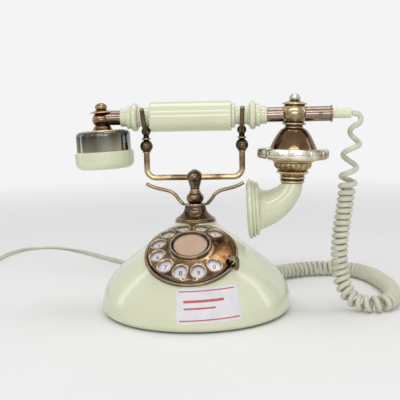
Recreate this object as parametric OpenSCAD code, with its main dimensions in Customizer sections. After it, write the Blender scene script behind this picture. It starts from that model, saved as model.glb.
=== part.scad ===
// Cradle telephone with a rotary dial, a balance-beam handset and a curly cord.
// The origin is the middle of the underside, +Z is up, the dial faces -Y and
// the handset lies along X.

/* [Base] */
// Widest radius of the round housing
base_r = 88.5; // [82:0.5:108]
// Height of the top of the housing, under the column foot
top_z = 82.7; // [78:0.1:90]
// Wall thickness of the housing
wall = 2.5; // [1.8:0.1:3]
// Thickness of the pad that the telephone rests on
pad_t = 1.5; // [1:0.1:2]
// Thickness of the steel base plate
plate_t = 2; // [1.5:0.1:2.5]

/* [Dial] */
// Distance of the dial's centre in front of the base's centre
dial_fwd = 50; // [48:0.5:54]
// Height of the dial's centre, on the plane of the bezel's rim
dial_z = 63; // [59:0.5:63]
// Tilt of the dial from the horizontal
dial_tilt = 30.2; // [26:0.1:30.5]
// Outer radius of the bezel
bezel_r = 41.2; // [38:0.1:43]
// Radius of the finger wheel
wheel_r = 37.7; // [34:0.1:39]
// Radius of the circle that the finger holes lie on
hole_circle_r = 30; // [27:0.1:31]
// Radius of one finger hole
finger_hole_r = 6; // [5:0.1:6.3]
// Angle of the first finger hole, from +X towards the top of the dial
first_hole = 46; // [40:1:50]
// Radius of the card in the middle of the wheel
card_r = 15.4; // [12:0.1:16]
// Radius of the dial's shaft
shaft_r = 3; // [2:0.1:4]

/* [Column] */
// Distance of the column behind the base's centre
col_y = 8; // [6:0.5:10]
// Radius of the column foot's rim
foot_r = 19.1; // [17:0.1:20]
// Height of the column foot
foot_h = 14.6; // [12:0.1:17]
// Outer radius of the tube that holds the column together
tube_r = 4.4; // [4.2:0.1:5]
// Radius of the plunger rod
rod_r = 3; // [2.4:0.1:3.2]
// Travel of the cradle when the handset is lifted
hook_travel = 4; // [3:0.1:5]

/* [Cradle] */
// Distance between the two uprights of the cradle bar
fork_span = 90; // [80:0.5:100]
// Radius of the cradle bar
bar_r = 2.8; // [2.3:0.1:3.1]
// Bend radius of the cradle bar
bar_bend = 8.4; // [7:0.1:10]
// Height of the cradle bar's middle above the column's collar
bar_rise = 13; // [12:0.1:14]
// Height of the lower ball knobs above the cradle bar
knob_rise = 29.8; // [24:0.1:34]
// Radius of the lower ball knobs
knob_r = 6; // [5:0.1:6.5]
// Radius of the upper ball knobs
top_knob_r = 4.4; // [4:0.1:4.6]
// Radius of one fork prong
prong_r = 2.2; // [1.8:0.1:2.3]

/* [Handset] */
// Shift of the handset to the left of the column
handset_shift = 0; // [-2:0.1:2]
// Radius of the grip barrel
grip_r = 14; // [12:0.1:15]
// Radius of the necks that lie in the forks
neck_r = 8.5; // [8:0.1:9]
// Radius of the flanges beside the forks
flange_r = 13.4; // [11.5:0.1:14]
// Radius of the brass tube
handset_tube_r = 6.9; // [6:0.1:7.2]
// Distance from the left ferrule to the middle of the receiver
receiver_reach = 18.6; // [17:0.1:24]
// Distance from the right ferrule to the middle of the transmitter
transmitter_reach = 25.5; // [22:0.1:30]
// Length of the brass tube beyond the transmitter
tail_l = 32.8; // [28:0.1:40]
// Inward lean of the receiver
receiver_lean = 2.5; // [0:0.1:4]
// Inward lean of the transmitter
transmitter_lean = 2.2; // [0:0.1:4]
// Radius of the receiver's brass cup
cup_r = 25.6; // [22:0.1:28]
// Radius of the ear cap
ear_cap_r = 27.6; // [25:0.1:30]
// Outer radius of the lobed ring
ring_r = 34; // [28:0.1:35]
// Radius of the mouthpiece's rim
mouth_r = 28.4; // [25:0.1:31]

/* [Cords] */
// Diameter of the curly cord's wire
curly_wire_d = 5; // [3.5:0.1:5.2]
// Outer diameter of the curly cord's coil
curly_coil_d = 16.2; // [13:0.1:16.4]
// Width of the flat line cord
line_w = 5.2; // [4:0.1:5.4]
// Thickness of the flat line cord
line_t = 2.6; // [2:0.1:2.8]
// Turns in each layer of the stored coil
coil_turns = 4; // [3:1:4]

/* [Hidden] */

ivory = [0.86, 0.87, 0.74];
brass = [0.72, 0.58, 0.42];
pale_gold = [0.80, 0.74, 0.60];
steel = [0.62, 0.63, 0.65];
black = [0.12, 0.12, 0.12];
card_tan = [0.78, 0.65, 0.53];
cord_ivory = [0.80, 0.80, 0.72];

rest_gap = 0.3;          // gap between pieces that only rest on each other
run_gap = 0.05;          // radial clearance of a shaft in its bore
smooth = 72;             // sides of a circle inside a hull

// Heights that follow from the base upwards
plate_top = pad_t + plate_t;
collar_z = top_z + foot_h;
collar_h = 14.2;
bar_z = collar_z + collar_h + bar_rise;
knob_z = bar_z + knob_rise;
top_knob_z = knob_z + knob_r + 3.7 + top_knob_r;
handset_z = top_knob_z + top_knob_r + rest_gap + neck_r;

// Places along the handset, from the left hub to the right end
fork_gap = 2.35;         // from a prong to the end of the grip
neck_l = 11.5;           // length of the left neck
collar_l = 3.3;          // length of the grip's end collar
flange_w = 6.1;
step_w = [4.1, 6];       // widths of the two steps outside each flange
grip_x0 = handset_shift - fork_span / 2 + prong_r + fork_gap;
grip_x1 = handset_shift + fork_span / 2 - prong_r - fork_gap - collar_l - 1.5;
collar_x1 = grip_x1 + collar_l;
left_flange_x = grip_x0 - neck_l;
right_flange_x = collar_x1 + neck_l + 1.7;
left_end_x = left_flange_x - flange_w - step_w[0] - step_w[1];
right_end_x = right_flange_x + flange_w + step_w[0] + step_w[1];
receiver_x = left_end_x - receiver_reach;
transmitter_x = right_end_x + transmitter_reach;
tail_x = transmitter_x + tail_l;
end_flange_t = 2;
sleeve_l = 17.2;
sleeve_x1 = tail_x + end_flange_t + sleeve_l;

// ---------------------------------------------------------------- helpers

function unit(v) = v / norm(v);
function smooth_step(f) = f * f * (3 - 2 * f);

// Points of an arc of an ellipse, with its centre, radii and two angles
function oval_arc(c, rx, ry, a0, a1, n) =
    [for (i = [0 : n]) let (a = a0 + (a1 - a0) * i / n) c + [rx * cos(a), ry * sin(a)]];

// Point at parameter t of a smooth curve through the points p
function spline_at(p, t) =
    let (last = len(p) - 1, i = min(floor(t), last - 1), f = t - i,
         a = p[max(i - 1, 0)], b = p[i], c = p[i + 1], d = p[min(i + 2, last)])
    0.5 * (2 * b + (c - a) * f + (2 * a - 5 * b + 4 * c - d) * f * f
        + (3 * b - a - 3 * c + d) * f * f * f);

// The same curve as a dense row of points
function dense(p, n) = [for (i = [0 : n * (len(p) - 1)]) spline_at(p, i / n)];

// Length along a row of points, at each of its points
function running(q) =
    [for (i = 0, s = 0; i < len(q);
          s = s + (i + 1 < len(q) ? norm(lead3(q[i + 1]) - lead3(q[i])) : 0), i = i + 1) s];
function lead3(v) = [v[0], v[1], v[2]];

// Tables that give each coordinate of a row of points by its length along it
function tables(q) =
    let (s = running(q)) [for (k = [0 : len(q[0]) - 1]) [for (i = [0 : len(q) - 1]) [s[i], q[i][k]]]];
function at_length(tabs, s) = [for (tab = tabs) lookup(s, tab)];
function table_end(tabs) = tabs[0][len(tabs[0]) - 1][0];

// Directions along a row of points
function headings(q) =
    [for (i = [0 : len(q) - 1]) unit(lead3(q[min(i + 1, len(q) - 1)]) - lead3(q[max(i - 1, 0)]))];

// Side directions that turn as little as possible along the row
function squared(n, t) = unit(n - t * (n * t));
function sidelong(t, first) =
    [for (i = 0, n = squared(first, t[0]); i < len(t);
          i = i + 1, n = i < len(t) ? squared(n, t[i]) : n) n];

// One ring of points round c, with half widths a and b along the directions u and v
function ring(c, u, v, a, b, sides) =
    [for (j = [0 : sides - 1]) let (w = 360 * j / sides) c + u * a * cos(w) + v * b * sin(w)];

// Closed solid through rings of points; open ends get flat caps
module skin(rings) {
    n = len(rings);
    m = len(rings[0]);
    last = (n - 1) * m;
    sides = [for (i = [0 : n - 2], j = [0 : m - 1])
        let (a = i * m + j, b = i * m + (j + 1) % m) each [[a, b + m, b], [a, a + m, b + m]]];
    caps = [for (j = [1 : m - 2]) each [[0, j, j + 1], [last, last + j + 1, last + j]]];
    polyhedron([for (r = rings) each r], concat(sides, caps));
}

// Round tube along the points q, with one radius for each point
module swept(q, radii, sides, first) {
    t = headings(q);
    n = sidelong(t, first);
    skin([for (i = [0 : len(q) - 1]) ring(q[i], n[i], cross(t[i], n[i]), radii[i], radii[i], sides)]);
}

// Solid of revolution round Z from its half outline
module turned(outline) {
    rotate_extrude($fn = 96) polygon(outline);
}

module along_x() {
    translate([0, col_y, handset_z]) rotate([0, 90, 0]) children();
}

// Cylinder round the handset's axis from x0 to x1
module bar_x(x0, x1, r) {
    along_x() translate([0, 0, x0]) cylinder(r = r, h = x1 - x0, $fn = 96);
}

module on_dial() {
    translate([0, -dial_fwd, dial_z]) rotate([dial_tilt, 0, 0]) children();
}

module at_column() {
    translate([0, col_y, 0]) children();
}

module at_receiver() {
    translate([receiver_x, col_y, handset_z]) rotate([0, -receiver_lean, 0]) children();
}

module at_transmitter() {
    translate([transmitter_x, col_y, handset_z]) rotate([0, transmitter_lean, 0]) children();
}

// ---------------------------------------------------------------- base

pad_r = base_r - 10;
plate_r = base_r - 3.6;
screw_circle_r = base_r - 12;
screw_r = 1.5;
screw_head_r = 3.2;
boss_r = 4.5;
boss_h = 12;

module base_pad() {
    color(black) cylinder(r = pad_r, h = pad_t, $fn = 96);
}

module at_screws() {
    for (a = [45 : 90 : 315]) rotate([0, 0, a]) translate([screw_circle_r, 0, 0]) children();
}

module base_plate() {
    color(steel) translate([0, 0, pad_t]) difference() {
        cylinder(r = plate_r, h = plate_t, $fn = 96);
        at_screws() translate([0, 0, -1]) cylinder(r = screw_r + run_gap, h = plate_t + 2, $fn = 24);
        at_screws() translate([0, 0, -0.01]) cylinder(r = screw_head_r + run_gap, h = 1.21, $fn = 24);
    }
}

module base_plate_screws() {
    color(steel) at_screws() translate([0, 0, pad_t]) {
        cylinder(r = screw_head_r, h = 1.2, $fn = 24);
        cylinder(r = screw_r, h = 8, $fn = 24);
    }
}

seat_z = -2.6;           // the housing's dial seat, below the bezel's rim plane
seat_r = bezel_r - 1.6;
well_r = seat_r - 6;     // hole in the seat for the dial's frame

// The housing's round bulge: narrow at the foot, widest at bulge_z, then drawn in
bulge_z = pad_t + 6.5;
module bulge(inset, low) {
    foot = oval_arc([base_r - 5, bulge_z], 5 - inset, bulge_z - low, -75, 0, 4);
    shoulder = oval_arc([base_r - 24, bulge_z], 24 - inset, 34 - inset, 8, 64, 7);
    rotate_extrude($fn = smooth) polygon(concat([[0, low]], [[base_r - 5, low]], foot, shoulder,
        [[0, shoulder[7][1]]]));
}

// Low neck under the column foot; it starts where the plane of the dial seat meets it
neck_foot_r = foot_r + 1.2;
neck_low = dial_z + (seat_z + sin(dial_tilt) * (dial_fwd + col_y - neck_foot_r)) / cos(dial_tilt);

// One smooth hood over the bulge, the tilted dial seat and the column's neck
module hood(inset, low) {
    hull() {
        bulge(inset, low);
        on_dial() translate([0, 0, seat_z - inset - 0.5]) cylinder(r = seat_r - inset, h = 0.5, $fn = smooth);
        at_column() translate([0, 0, neck_low - inset - 0.5])
            cylinder(r = neck_foot_r - inset, h = 0.5, $fn = smooth);
    }
}

handset_exit = 57;       // directions in which the cords leave the base
line_exit = 115;
exit_z = 8.2;
grommet_r = 4.6;
grommet_hole_r = 3.4;

module at_exit(angle) {
    rotate([0, 0, angle]) translate([base_r, 0, exit_z]) rotate([0, 90, 0]) children();
}

module base_housing() {
    color(ivory) difference() {
        union() {
            difference() {
                hood(0, pad_t);
                hood(wall, pad_t - 4);
            }
            at_column() translate([0, 0, neck_low - 0.6])
                cylinder(r = neck_foot_r - 0.1, h = top_z - neck_low + 0.6, $fn = 96);
            at_screws() translate([0, 0, plate_top]) cylinder(r = boss_r, h = boss_h, $fn = 32);
            for (a = [45 : 90 : 315]) rotate([0, 0, a])
                translate([screw_circle_r, -1.5, plate_top]) cube([10, 3, boss_h]);
        }
        at_screws() translate([0, 0, plate_top - 1]) cylinder(r = screw_r, h = 8, $fn = 24);
        on_dial() translate([0, 0, seat_z - 12]) cylinder(r = well_r, h = 13, $fn = 96);
        on_dial() translate([0, 0, seat_z + 0.03]) cylinder(r = bezel_r + 0.2, h = 12, $fn = 96);
        at_column() translate([0, 0, neck_low - 8]) cylinder(r = tube_r + 0.1, h = top_z, $fn = 48);
        for (a = [handset_exit, line_exit])
            at_exit(a) translate([0, 0, -8]) cylinder(r = grommet_hole_r, h = 10, $fn = 32);
    }
}

// A rubber grommet in the wall: neck through the hole, collar outside
module cord_grommet(angle) {
    color(black) at_exit(angle) {
        translate([0, 0, 0.6]) cylinder(r = grommet_r, h = 1.6, $fn = 32);
        translate([0, 0, -5]) cylinder(r = grommet_hole_r - 0.02, h = 6, $fn = 32);
        translate([0, 0, 2.2]) cylinder(r = 3.2, h = 3.4, $fn = 32);
    }
}
exit_l = 5.6;            // from the housing's widest radius to the grommet's end

module handset_cord_grommet() { cord_grommet(handset_exit); }
module line_cord_grommet() { cord_grommet(line_exit); }

// ---------------------------------------------------------------- column

collar_r = 9.8;
wing_r = 1.7;
wing_root_r = 0.9;       // the arms are thin where they go into the collar
wing_z = collar_z + 1.3;

module column_foot() {
    flare = [for (i = [0 : 8]) let (f = i / 8)
        [tube_r + 5.6 + (foot_r - tube_r - 6.6) * pow(1 - f, 2.4), top_z + 3.3 + f * (foot_h - 3.3)]];
    color(brass) at_column() difference() {
        turned(concat([[0, top_z], [foot_r, top_z], [foot_r + 0.2, top_z + 1], [foot_r, top_z + 2.4],
            [foot_r - 0.9, top_z + 3.2]], flare, [[0, collar_z]]));
        translate([0, 0, top_z - 1]) cylinder(r = tube_r + 0.02, h = foot_h + 2, $fn = 48);
    }
}

bulb_z = collar_z + 7.4;
module column_collar() {
    top = collar_z + collar_h;
    bulb = oval_arc([3.2, bulb_z], 5.1, 5.1, -66, 62, 10);
    color(brass) at_column() difference() {
        turned(concat([[0, collar_z], [collar_r - 0.3, collar_z], [collar_r, collar_z + 0.5],
            [collar_r, collar_z + 2.2], [collar_r - 0.5, collar_z + 2.6], [5.4, collar_z + 2.7]],
            bulb, [[5.1, top - 0.8], [4.9, top], [0, top]]));
        translate([0, 0, collar_z - 1]) cylinder(r = tube_r + 0.02, h = collar_h + 2, $fn = 48);
        for (turn = [0, 180]) rotate([0, 0, turn]) translate([tube_r + 0.9, 0, wing_z]) rotate([0, 90, 0])
            cylinder(r = wing_root_r + 0.02, h = 20, $fn = 32);
    }
}

nut_h = 4;
nut_z = neck_low - wall - nut_h;
tube_low = nut_z - 4;
module column_tube() {
    color(brass) at_column() difference() {
        translate([0, 0, tube_low]) cylinder(r = tube_r, h = collar_z + collar_h - tube_low, $fn = 48);
        translate([0, 0, tube_low - 1]) cylinder(r = rod_r + run_gap, h = 80, $fn = 48);
    }
}

module column_nut() {
    color(steel) at_column() translate([0, 0, nut_z]) difference() {
        cylinder(r = 7.4, h = nut_h, $fn = 6);
        translate([0, 0, -1]) cylinder(r = tube_r + 0.02, h = nut_h + 2, $fn = 48);
    }
}

// Route of one wing arm, as distances from the column and heights above the collar
wing_route = [[7, 1.3], [10, 1.3], [12.4, 2.7], [15.4, 6], [19, 10.8], [24, 14], [31.5, 16],
    [39.5, 18.2], [46.3, 21.6]];
module wing_arm(side) {
    route = dense([for (p = wing_route) [side * p[0], col_y, collar_z + p[1]]], 3);
    color(pale_gold) swept(concat([[side * (tube_r + 1), col_y, wing_z]], route),
        concat([wing_root_r], [for (p = route) lookup(abs(p[0]), [[10.3, wing_root_r], [12, wing_r]])]), 10,
        [0, 1, 0]);
}
module left_wing_arm() { wing_arm(-1); }
module right_wing_arm() { wing_arm(1); }

// ---------------------------------------------------------------- dial

plate_z = -1.4;          // top of the number plate
dome = [[wheel_r, 1.4], [wheel_r - 1.4, 2.5], [hole_circle_r, 4.3], [24, 5.7], [20.8, 7]];
wheel_t = 1.7;
hub_top = 7.4;
frame_z = -9;            // floor of the dial frame
gear_z = frame_z - 3.6;
gear_teeth = 60;
pinion_teeth = 12;
tooth_m = 0.6;
gear_r = gear_teeth * tooth_m / 2;
pinion_r = pinion_teeth * tooth_m / 2;
governor_x = gear_r + pinion_r + 0.1;

module dial_bezel() {
    rim_in = wheel_r + 0.9;
    bead = oval_arc([(bezel_r + rim_in) / 2, -1], (bezel_r - rim_in) / 2, 1, 0, 180, 8);
    color(brass) on_dial() turned(concat([[well_r, seat_z], [bezel_r, seat_z]], bead,
        [[rim_in, seat_z + 0.7], [well_r, seat_z + 0.7]]));
}

module number_plate() {
    color([0.85, 0.84, 0.88]) on_dial() translate([0, 0, plate_z - 0.5])
        difference() {
            cylinder(r = wheel_r - 1.2, h = 0.5, $fn = 96);
            translate([0, 0, -1]) cylinder(r = 20, h = 2, $fn = 64);
        }
}

// The wheel: a shallow dome with ten finger holes and a cup in its hub
module finger_wheel() {
    under = [for (i = [len(dome) - 1 : -1 : 0]) dome[i] - [i == 0 ? 0 : 0.6, i == 0 ? 0.9 : wheel_t]];
    color(brass) on_dial() difference() {
        turned(concat([[0, hub_top - 2.6]], [[under[0][0] - 1, hub_top - 2.6]], under, dome,
            [[card_r + 3.6, hub_top], [0, hub_top]]));
        for (i = [0 : 9]) rotate([0, 0, first_hole + 30 * i]) translate([hole_circle_r, 0, -2])
            cylinder(r = finger_hole_r, h = 12, $fn = 48);
        translate([0, 0, -5]) cylinder(r = shaft_r, h = 20, $fn = 32);
    }
}

module card_ring() {
    crown = oval_arc([card_r + 1.7, hub_top + 2.2], 1.7, 1.2, 0, 180, 8);
    color(brass) on_dial() turned(concat([[card_r, hub_top], [card_r + 3.5, hub_top]], crown));
}

module dial_card() {
    color(card_tan) on_dial() translate([0, 0, hub_top + 0.4]) cylinder(r = card_r - 0.05, h = 1, $fn = 64);
}

module card_window() {
    color([0.9, 0.9, 0.9, 0.4]) on_dial() translate([0, 0, hub_top + 1.4])
        cylinder(r = card_r - 0.05, h = 0.8, $fn = 64);
}

module dial_shaft() {
    color(steel) on_dial() {
        translate([0, 0, gear_z - 2]) cylinder(r = shaft_r, h = hub_top + 0.4 - gear_z + 2, $fn = 32);
    }
}

// A cup behind the number plate that carries the dial's bearings
module dial_frame() {
    color(steel) on_dial() difference() {
        translate([0, 0, frame_z]) cylinder(r = well_r - 0.3, h = plate_z - 0.5 - frame_z, $fn = 96);
        translate([0, 0, frame_z + 1.6]) cylinder(r = well_r - 2.5, h = 12, $fn = 96);
        translate([0, 0, frame_z - 1]) cylinder(r = shaft_r + run_gap, h = 20, $fn = 48);
        translate([governor_x, 0, frame_z - 1]) cylinder(r = 1 + run_gap, h = 5, $fn = 32);
    }
}

// Flat gear with narrow straight-sided teeth
module gear(teeth, thick, turn) {
    r = teeth * tooth_m / 2;
    half = 90 / teeth;
    rotate([0, 0, turn]) linear_extrude(thick) polygon([for (i = [0 : teeth - 1])
        let (a = 360 * i / teeth) each [
            (r - 0.75 * tooth_m) * [cos(a - 1.15 * half), sin(a - 1.15 * half)],
            (r + 0.65 * tooth_m) * [cos(a - 0.4 * half), sin(a - 0.4 * half)],
            (r + 0.65 * tooth_m) * [cos(a + 0.4 * half), sin(a + 0.4 * half)],
            (r - 0.75 * tooth_m) * [cos(a + 1.15 * half), sin(a + 1.15 * half)]]]);
}

module main_gear() {
    color(brass) on_dial() difference() {
        translate([0, 0, gear_z]) gear(gear_teeth, 2, 0);
        translate([0, 0, gear_z - 1]) cylinder(r = shaft_r, h = 4, $fn = 32);
    }
}

// Pinion, spindle and flyweight drum of the speed governor
module governor() {
    color(brass) on_dial() translate([governor_x, 0, 0]) {
        translate([0, 0, gear_z]) gear(pinion_teeth, 2, 180 + 180 / pinion_teeth);
        translate([0, 0, gear_z - 6]) cylinder(r = 1, h = frame_z - gear_z + 7.4, $fn = 24);
        translate([0, 0, gear_z - 5]) cylinder(r = 5.2, h = 4.2, $fn = 32);
    }
}

// Hook that stops the finger, standing on the bezel's rim
stop_angle = -20;
module finger_stop() {
    w = 7;
    r0 = bezel_r;
    color(pale_gold) on_dial() rotate([0, 0, stop_angle]) rotate([90, 0, 0]) translate([0, 0, -w / 2])
        linear_extrude(w) polygon(concat(
            [[r0 + 0.1, seat_z], [r0 + 3.6, seat_z], [r0 + 3.6, 2.4]],
            oval_arc([r0 + 0.5, 2.9], 3.1, 3.1, 10, 100, 5),
            [[r0 - 4, 6.2], [r0 - 7.6, 7.2], [r0 - 8.4, 6.1], [r0 - 5, 4.9]],
            oval_arc([r0 - 1.1, 3], 1.8, 1.5, 100, 0, 4), [[r0 + 0.1, 1.6]]));
}

// ---------------------------------------------------------------- cradle

hub_low = collar_z + collar_h + 0.4;
module yoke_hub() {
    ball = oval_arc([0, bar_z + 0.2], 7.5, 6.8, -30, 70, 10);
    color(brass) at_column() difference() {
        turned(concat([[0, hub_low], [4.6, hub_low], [4.8, hub_low + 0.9], [4.3, hub_low + 1.4],
            [4.6, hub_low + 3]], ball, [[2.2, bar_z + 6.9], [1.4, bar_z + 7.4], [0, bar_z + 7.5]]));
        translate([0, 0, hub_low - 1]) cylinder(r = rod_r + 0.02, h = rod_top - hub_low + 1, $fn = 48);
        translate([-20, 0, bar_z]) rotate([0, 90, 0]) cylinder(r = bar_r + 0.02, h = 40, $fn = 48);
    }
}

socket_l = 2.6;          // how far each upright goes into its knob
upright_top = knob_z - knob_r + 1 + socket_l;
module cradle_bar() {
    half = fork_span / 2;
    color(pale_gold) at_column() {
        translate([-half + bar_bend, 0, bar_z]) rotate([0, 90, 0])
            cylinder(r = bar_r, h = fork_span - 2 * bar_bend, $fn = 48);
        for (side = [-1, 1]) {
            translate([side * half, 0, bar_z + bar_bend])
                cylinder(r = bar_r, h = upright_top - bar_z - bar_bend, $fn = 48);
            translate([side * (half - bar_bend), 0, bar_z + bar_bend]) rotate([90, 0, 0])
                rotate([0, 0, side > 0 ? 270 : 180])
                    rotate_extrude(angle = 90, $fn = 96) translate([bar_bend, 0]) circle(r = bar_r, $fn = 48);
        }
    }
}

// Route of one prong, as distances beside the fork and above the upper knob's middle
prong_route = [[1.2, -2.2], [4.6, -0.6], [8.6, 3.4], [11.6, 8.2], [13.6, 13.4], [14.9, 18.6]];
prong_tip = [[15.15, 20], [15.3, 20.8], [15.36, 21.2]];

module fork(side) {
    x = side * fork_span / 2;
    low = knob_z - knob_r + 1;
    knob = oval_arc([0, knob_z], knob_r, knob_r, -56, 62, 10);
    upper = oval_arc([0, top_knob_z], top_knob_r, top_knob_r, -52, 90, 9);
    path = dense([for (p = prong_route) p], 2);
    round_path = concat(path, prong_tip);
    radii = concat([for (i = [0 : len(path) - 1]) prong_r * (0.86 + 0.14 * i / len(path))],
        prong_r * [0.86, 0.6, 0.25]);
    color(brass) union() {
        translate([x, col_y, 0]) difference() {
            turned(concat([[0, low - 1], [bar_r + 1.1, low - 1], [bar_r + 1.3, low - 0.5],
                [bar_r + 0.9, low]], knob,
                [[2.7, knob_z + knob_r - 0.2], [4.3, knob_z + knob_r + 0.5], [4.4, knob_z + knob_r + 1.4],
                [2.8, knob_z + knob_r + 2.1]], upper));
            translate([0, 0, low - 3]) cylinder(r = bar_r + 0.02, h = 2 + socket_l + 1, $fn = 48);
        }
        for (way = [-1, 1])
            swept([for (i = [0 : len(round_path) - 1]) let (p = round_path[i])
                [x + side * 0.06 * p[1], col_y + way * p[0], top_knob_z + p[1]]], radii, 10, [1, 0, 0]);
    }
}
module left_fork() { fork(-1); }
module right_fork() { fork(1); }

rod_low = 24;
rod_top = bar_z - bar_r;
spring_low = 42;
spring_high = 60;
module plunger_rod() {
    color(steel) at_column() {
        translate([0, 0, rod_low]) cylinder(r = rod_r, h = rod_top - rod_low, $fn = 48);
        translate([0, 0, spring_high]) cylinder(r = 5.6, h = 2, $fn = 32);
    }
}

// Compression spring between the bridge and the rod's collar
spring_turns = 6;
module hook_spring() {
    wire = 0.7;
    mid = rod_r + 1.6;
    h = spring_high - spring_low - 2 * wire - 2 * 0.1;
    color(steel) at_column() skin([for (i = [0 : 8 * spring_turns])
        let (a = 45 * i, c = [mid * cos(a), mid * sin(a), spring_low + wire + 0.1 + h * i / (8 * spring_turns)],
             u = [cos(a), sin(a), 0], t = unit([-sin(a), cos(a), h / (spring_turns * 2 * PI * mid)]))
        ring(c, u, cross(t, u), wire, wire, 6)]);
}

bridge_t = 2;
bridge_half = 16;
module spring_bridge() {
    color(steel) at_column() difference() {
        translate([-bridge_half, -7, plate_top]) cube([2 * bridge_half, 14, spring_low - plate_top]);
        translate([-bridge_half + bridge_t, -8, plate_top - 1])
            cube([2 * (bridge_half - bridge_t), 16, spring_low - bridge_t - plate_top + 1]);
        translate([0, 0, spring_low - bridge_t - 1]) cylinder(r = rod_r + run_gap, h = bridge_t + 2, $fn = 48);
    }
}

module hook_switch() {
    color(black) at_column() {
        translate([-10, -6, plate_top]) cube([20, 12, rod_low - plate_top - 2]);
        translate([0, 0, rod_low - 3]) cylinder(r = 2, h = 3 - rest_gap, $fn = 24);
    }
}

// ---------------------------------------------------------------- ringer and circuit

gong_r = 17;
gong_x = 24;
gong_y = 58;
pivot_y = 40;
pivot_z = 10;
module ringer_frame() {
    color(steel) {
        translate([-6, 26, plate_top]) cube([12, gong_y - 26 - 10, 2]);
        translate([0, pivot_y, plate_top]) cylinder(r = 1, h = pivot_z + 4 - plate_top, $fn = 24);
        translate([-6, 26, plate_top]) cube([12, 2, 14]);
    }
}

module ringer_coil() {
    color([0.5, 0.2, 0.1]) difference() {
        translate([-14, 22, pivot_z + 0.5]) rotate([0, 90, 0]) cylinder(r = 4, h = 28, $fn = 32);
        translate([-15, 25.99, 0]) cube([30, 10, 30]);
    }
}

module ringer_gongs() {
    color(brass) for (side = [-1, 1]) translate([side * gong_x, gong_y, 0]) {
        translate([0, 0, plate_top]) cylinder(r = 2.5, h = 8, $fn = 24);
        turned([[0, plate_top + 8], [6, plate_top + 8], [gong_r - 2, plate_top + 10],
            [gong_r - 1.2, plate_top + 7],
            [gong_r - 0.2, plate_top + 1], [gong_r, plate_top + 1], [gong_r, plate_top + 7],
            [gong_r - 1.2, plate_top + 11], [6, plate_top + 9.6], [0, plate_top + 9.6]]);
    }
}

module clapper() {
    color(steel) {
        difference() {
            union() {
                translate([0, pivot_y, pivot_z]) cylinder(r = 2.6, h = 3, $fn = 32);
                translate([-0.8, pivot_y, pivot_z]) cube([1.6, gong_y - pivot_y, 3]);
            }
            translate([0, pivot_y, pivot_z - 1]) cylinder(r = 1 + run_gap, h = 6, $fn = 32);
        }
        translate([0, gong_y, pivot_z]) cylinder(r = 3, h = 3, $fn = 32);
    }
}

module circuit_board() {
    color([0.2, 0.35, 0.2]) {
        for (x = [-62, -34], y = [-18, 14]) translate([x, y, plate_top]) cylinder(r = 2, h = 4, $fn = 24);
        translate([-66, -22, plate_top + 4]) cube([36, 40, 1.6]);
        translate([-60, -14, plate_top + 5.6]) cube([16, 14, 12]);
        translate([-40, 2, plate_top + 5.6]) cylinder(r = 5, h = 14, $fn = 32);
    }
}

// ---------------------------------------------------------------- handset

edge = 1.5;              // rounding of the turned ivory pieces

// Outline of a disc from x0 to x1 with rounded edges, for a turned piece along X
function disc_edge(x0, x1, r, e) = concat(
    oval_arc([r - e, x0 + e], e, e, -90, 0, 4), oval_arc([r - e, x1 - e], e, e, 0, 90, 4));

module bored_x(r) {
    difference() {
        children();
        bar_x(-200, 200, r + 0.02);
    }
}

module grip_barrel() {
    color(ivory) bored_x(handset_tube_r) along_x() turned(concat([[0, grip_x0]],
        disc_edge(grip_x0, grip_x1, grip_r, edge), disc_edge(grip_x1, collar_x1, grip_r - 2.6, 1),
        [[0, collar_x1]]));
}

tube_x0 = receiver_x - 2;
module handset_tube() {
    color(brass) difference() {
        bar_x(tube_x0, tail_x, handset_tube_r);
        bar_x(tube_x0 + 1.5, tail_x + 1, handset_tube_r - 1.2);
        set_screw_body();
    }
}

// The ferrules' outline runs outwards: neck, flange and two steps
module ferrule(x_neck, x_flange, way) {
    x1 = x_flange + way * flange_w;
    x2 = x1 + way * step_w[0];
    x3 = x2 + way * step_w[1];
    rim = way > 0 ? disc_edge(x_flange, x1, flange_r, 2.4) : disc_edge(x1, x_flange, flange_r, 2.4);
    step = way > 0 ? disc_edge(x1, x2, flange_r - 2.7, 1.2) : disc_edge(x2, x1, flange_r - 2.7, 1.2);
    last = way > 0 ? disc_edge(x2, x3, neck_r, 0.8) : disc_edge(x3, x2, neck_r, 0.8);
    inner = [[0, x_neck], [neck_r, x_neck], [neck_r, x_flange]];
    color(ivory) bored_x(handset_tube_r) along_x()
        turned(way > 0 ? concat(inner, rim, step, last, [[0, x3]])
            : concat([[0, x3]], last, step, rim, [[neck_r, x_flange], [neck_r, x_neck], [0, x_neck]]));
}
module left_ferrule() { ferrule(grip_x0, left_flange_x, -1); }
module right_ferrule() { ferrule(collar_x1, right_flange_x, 1); }

// Receiver heights are measured from the tube's axis, down the leaning line
module receiver_hub() {
    ball = oval_arc([0, -1.4], 9.1, 7.6, -46, 50, 10);
    dome_top = oval_arc([0, 9.4], 6, 4.8, 10, 90, 6);
    color(brass) difference() {
        at_receiver() turned(concat([[0, -12], [9.8, -12], [9.9, -11.2], [8.8, -10.4], [8.2, -8.2],
            [7.4, -7.4]], ball, [[6.6, 4.5], [10.4, 4.7], [10.7, 5.3], [10.4, 6], [6.2, 7.2], [4.6, 8.2],
            [5.6, 8.8]], dome_top));
        bar_x(tube_x0, receiver_x + 20, handset_tube_r + 0.02);
    }
}

cup_top = -12;
cup_low = -31;
module receiver_cup() {
    color(pale_gold) at_receiver() turned(concat([[0, cup_top]], [[cup_r - 6.5, cup_top]],
        oval_arc([cup_r - 4, cup_top - 4.2], 4, 4, 70, 0, 6), [[cup_r, cup_low], [cup_r - 1.3, cup_low],
        [cup_r - 1.3, cup_top - 4.4], [cup_r - 3.2, cup_top - 1.9], [0, cup_top - 1.3]]));
}

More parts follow.
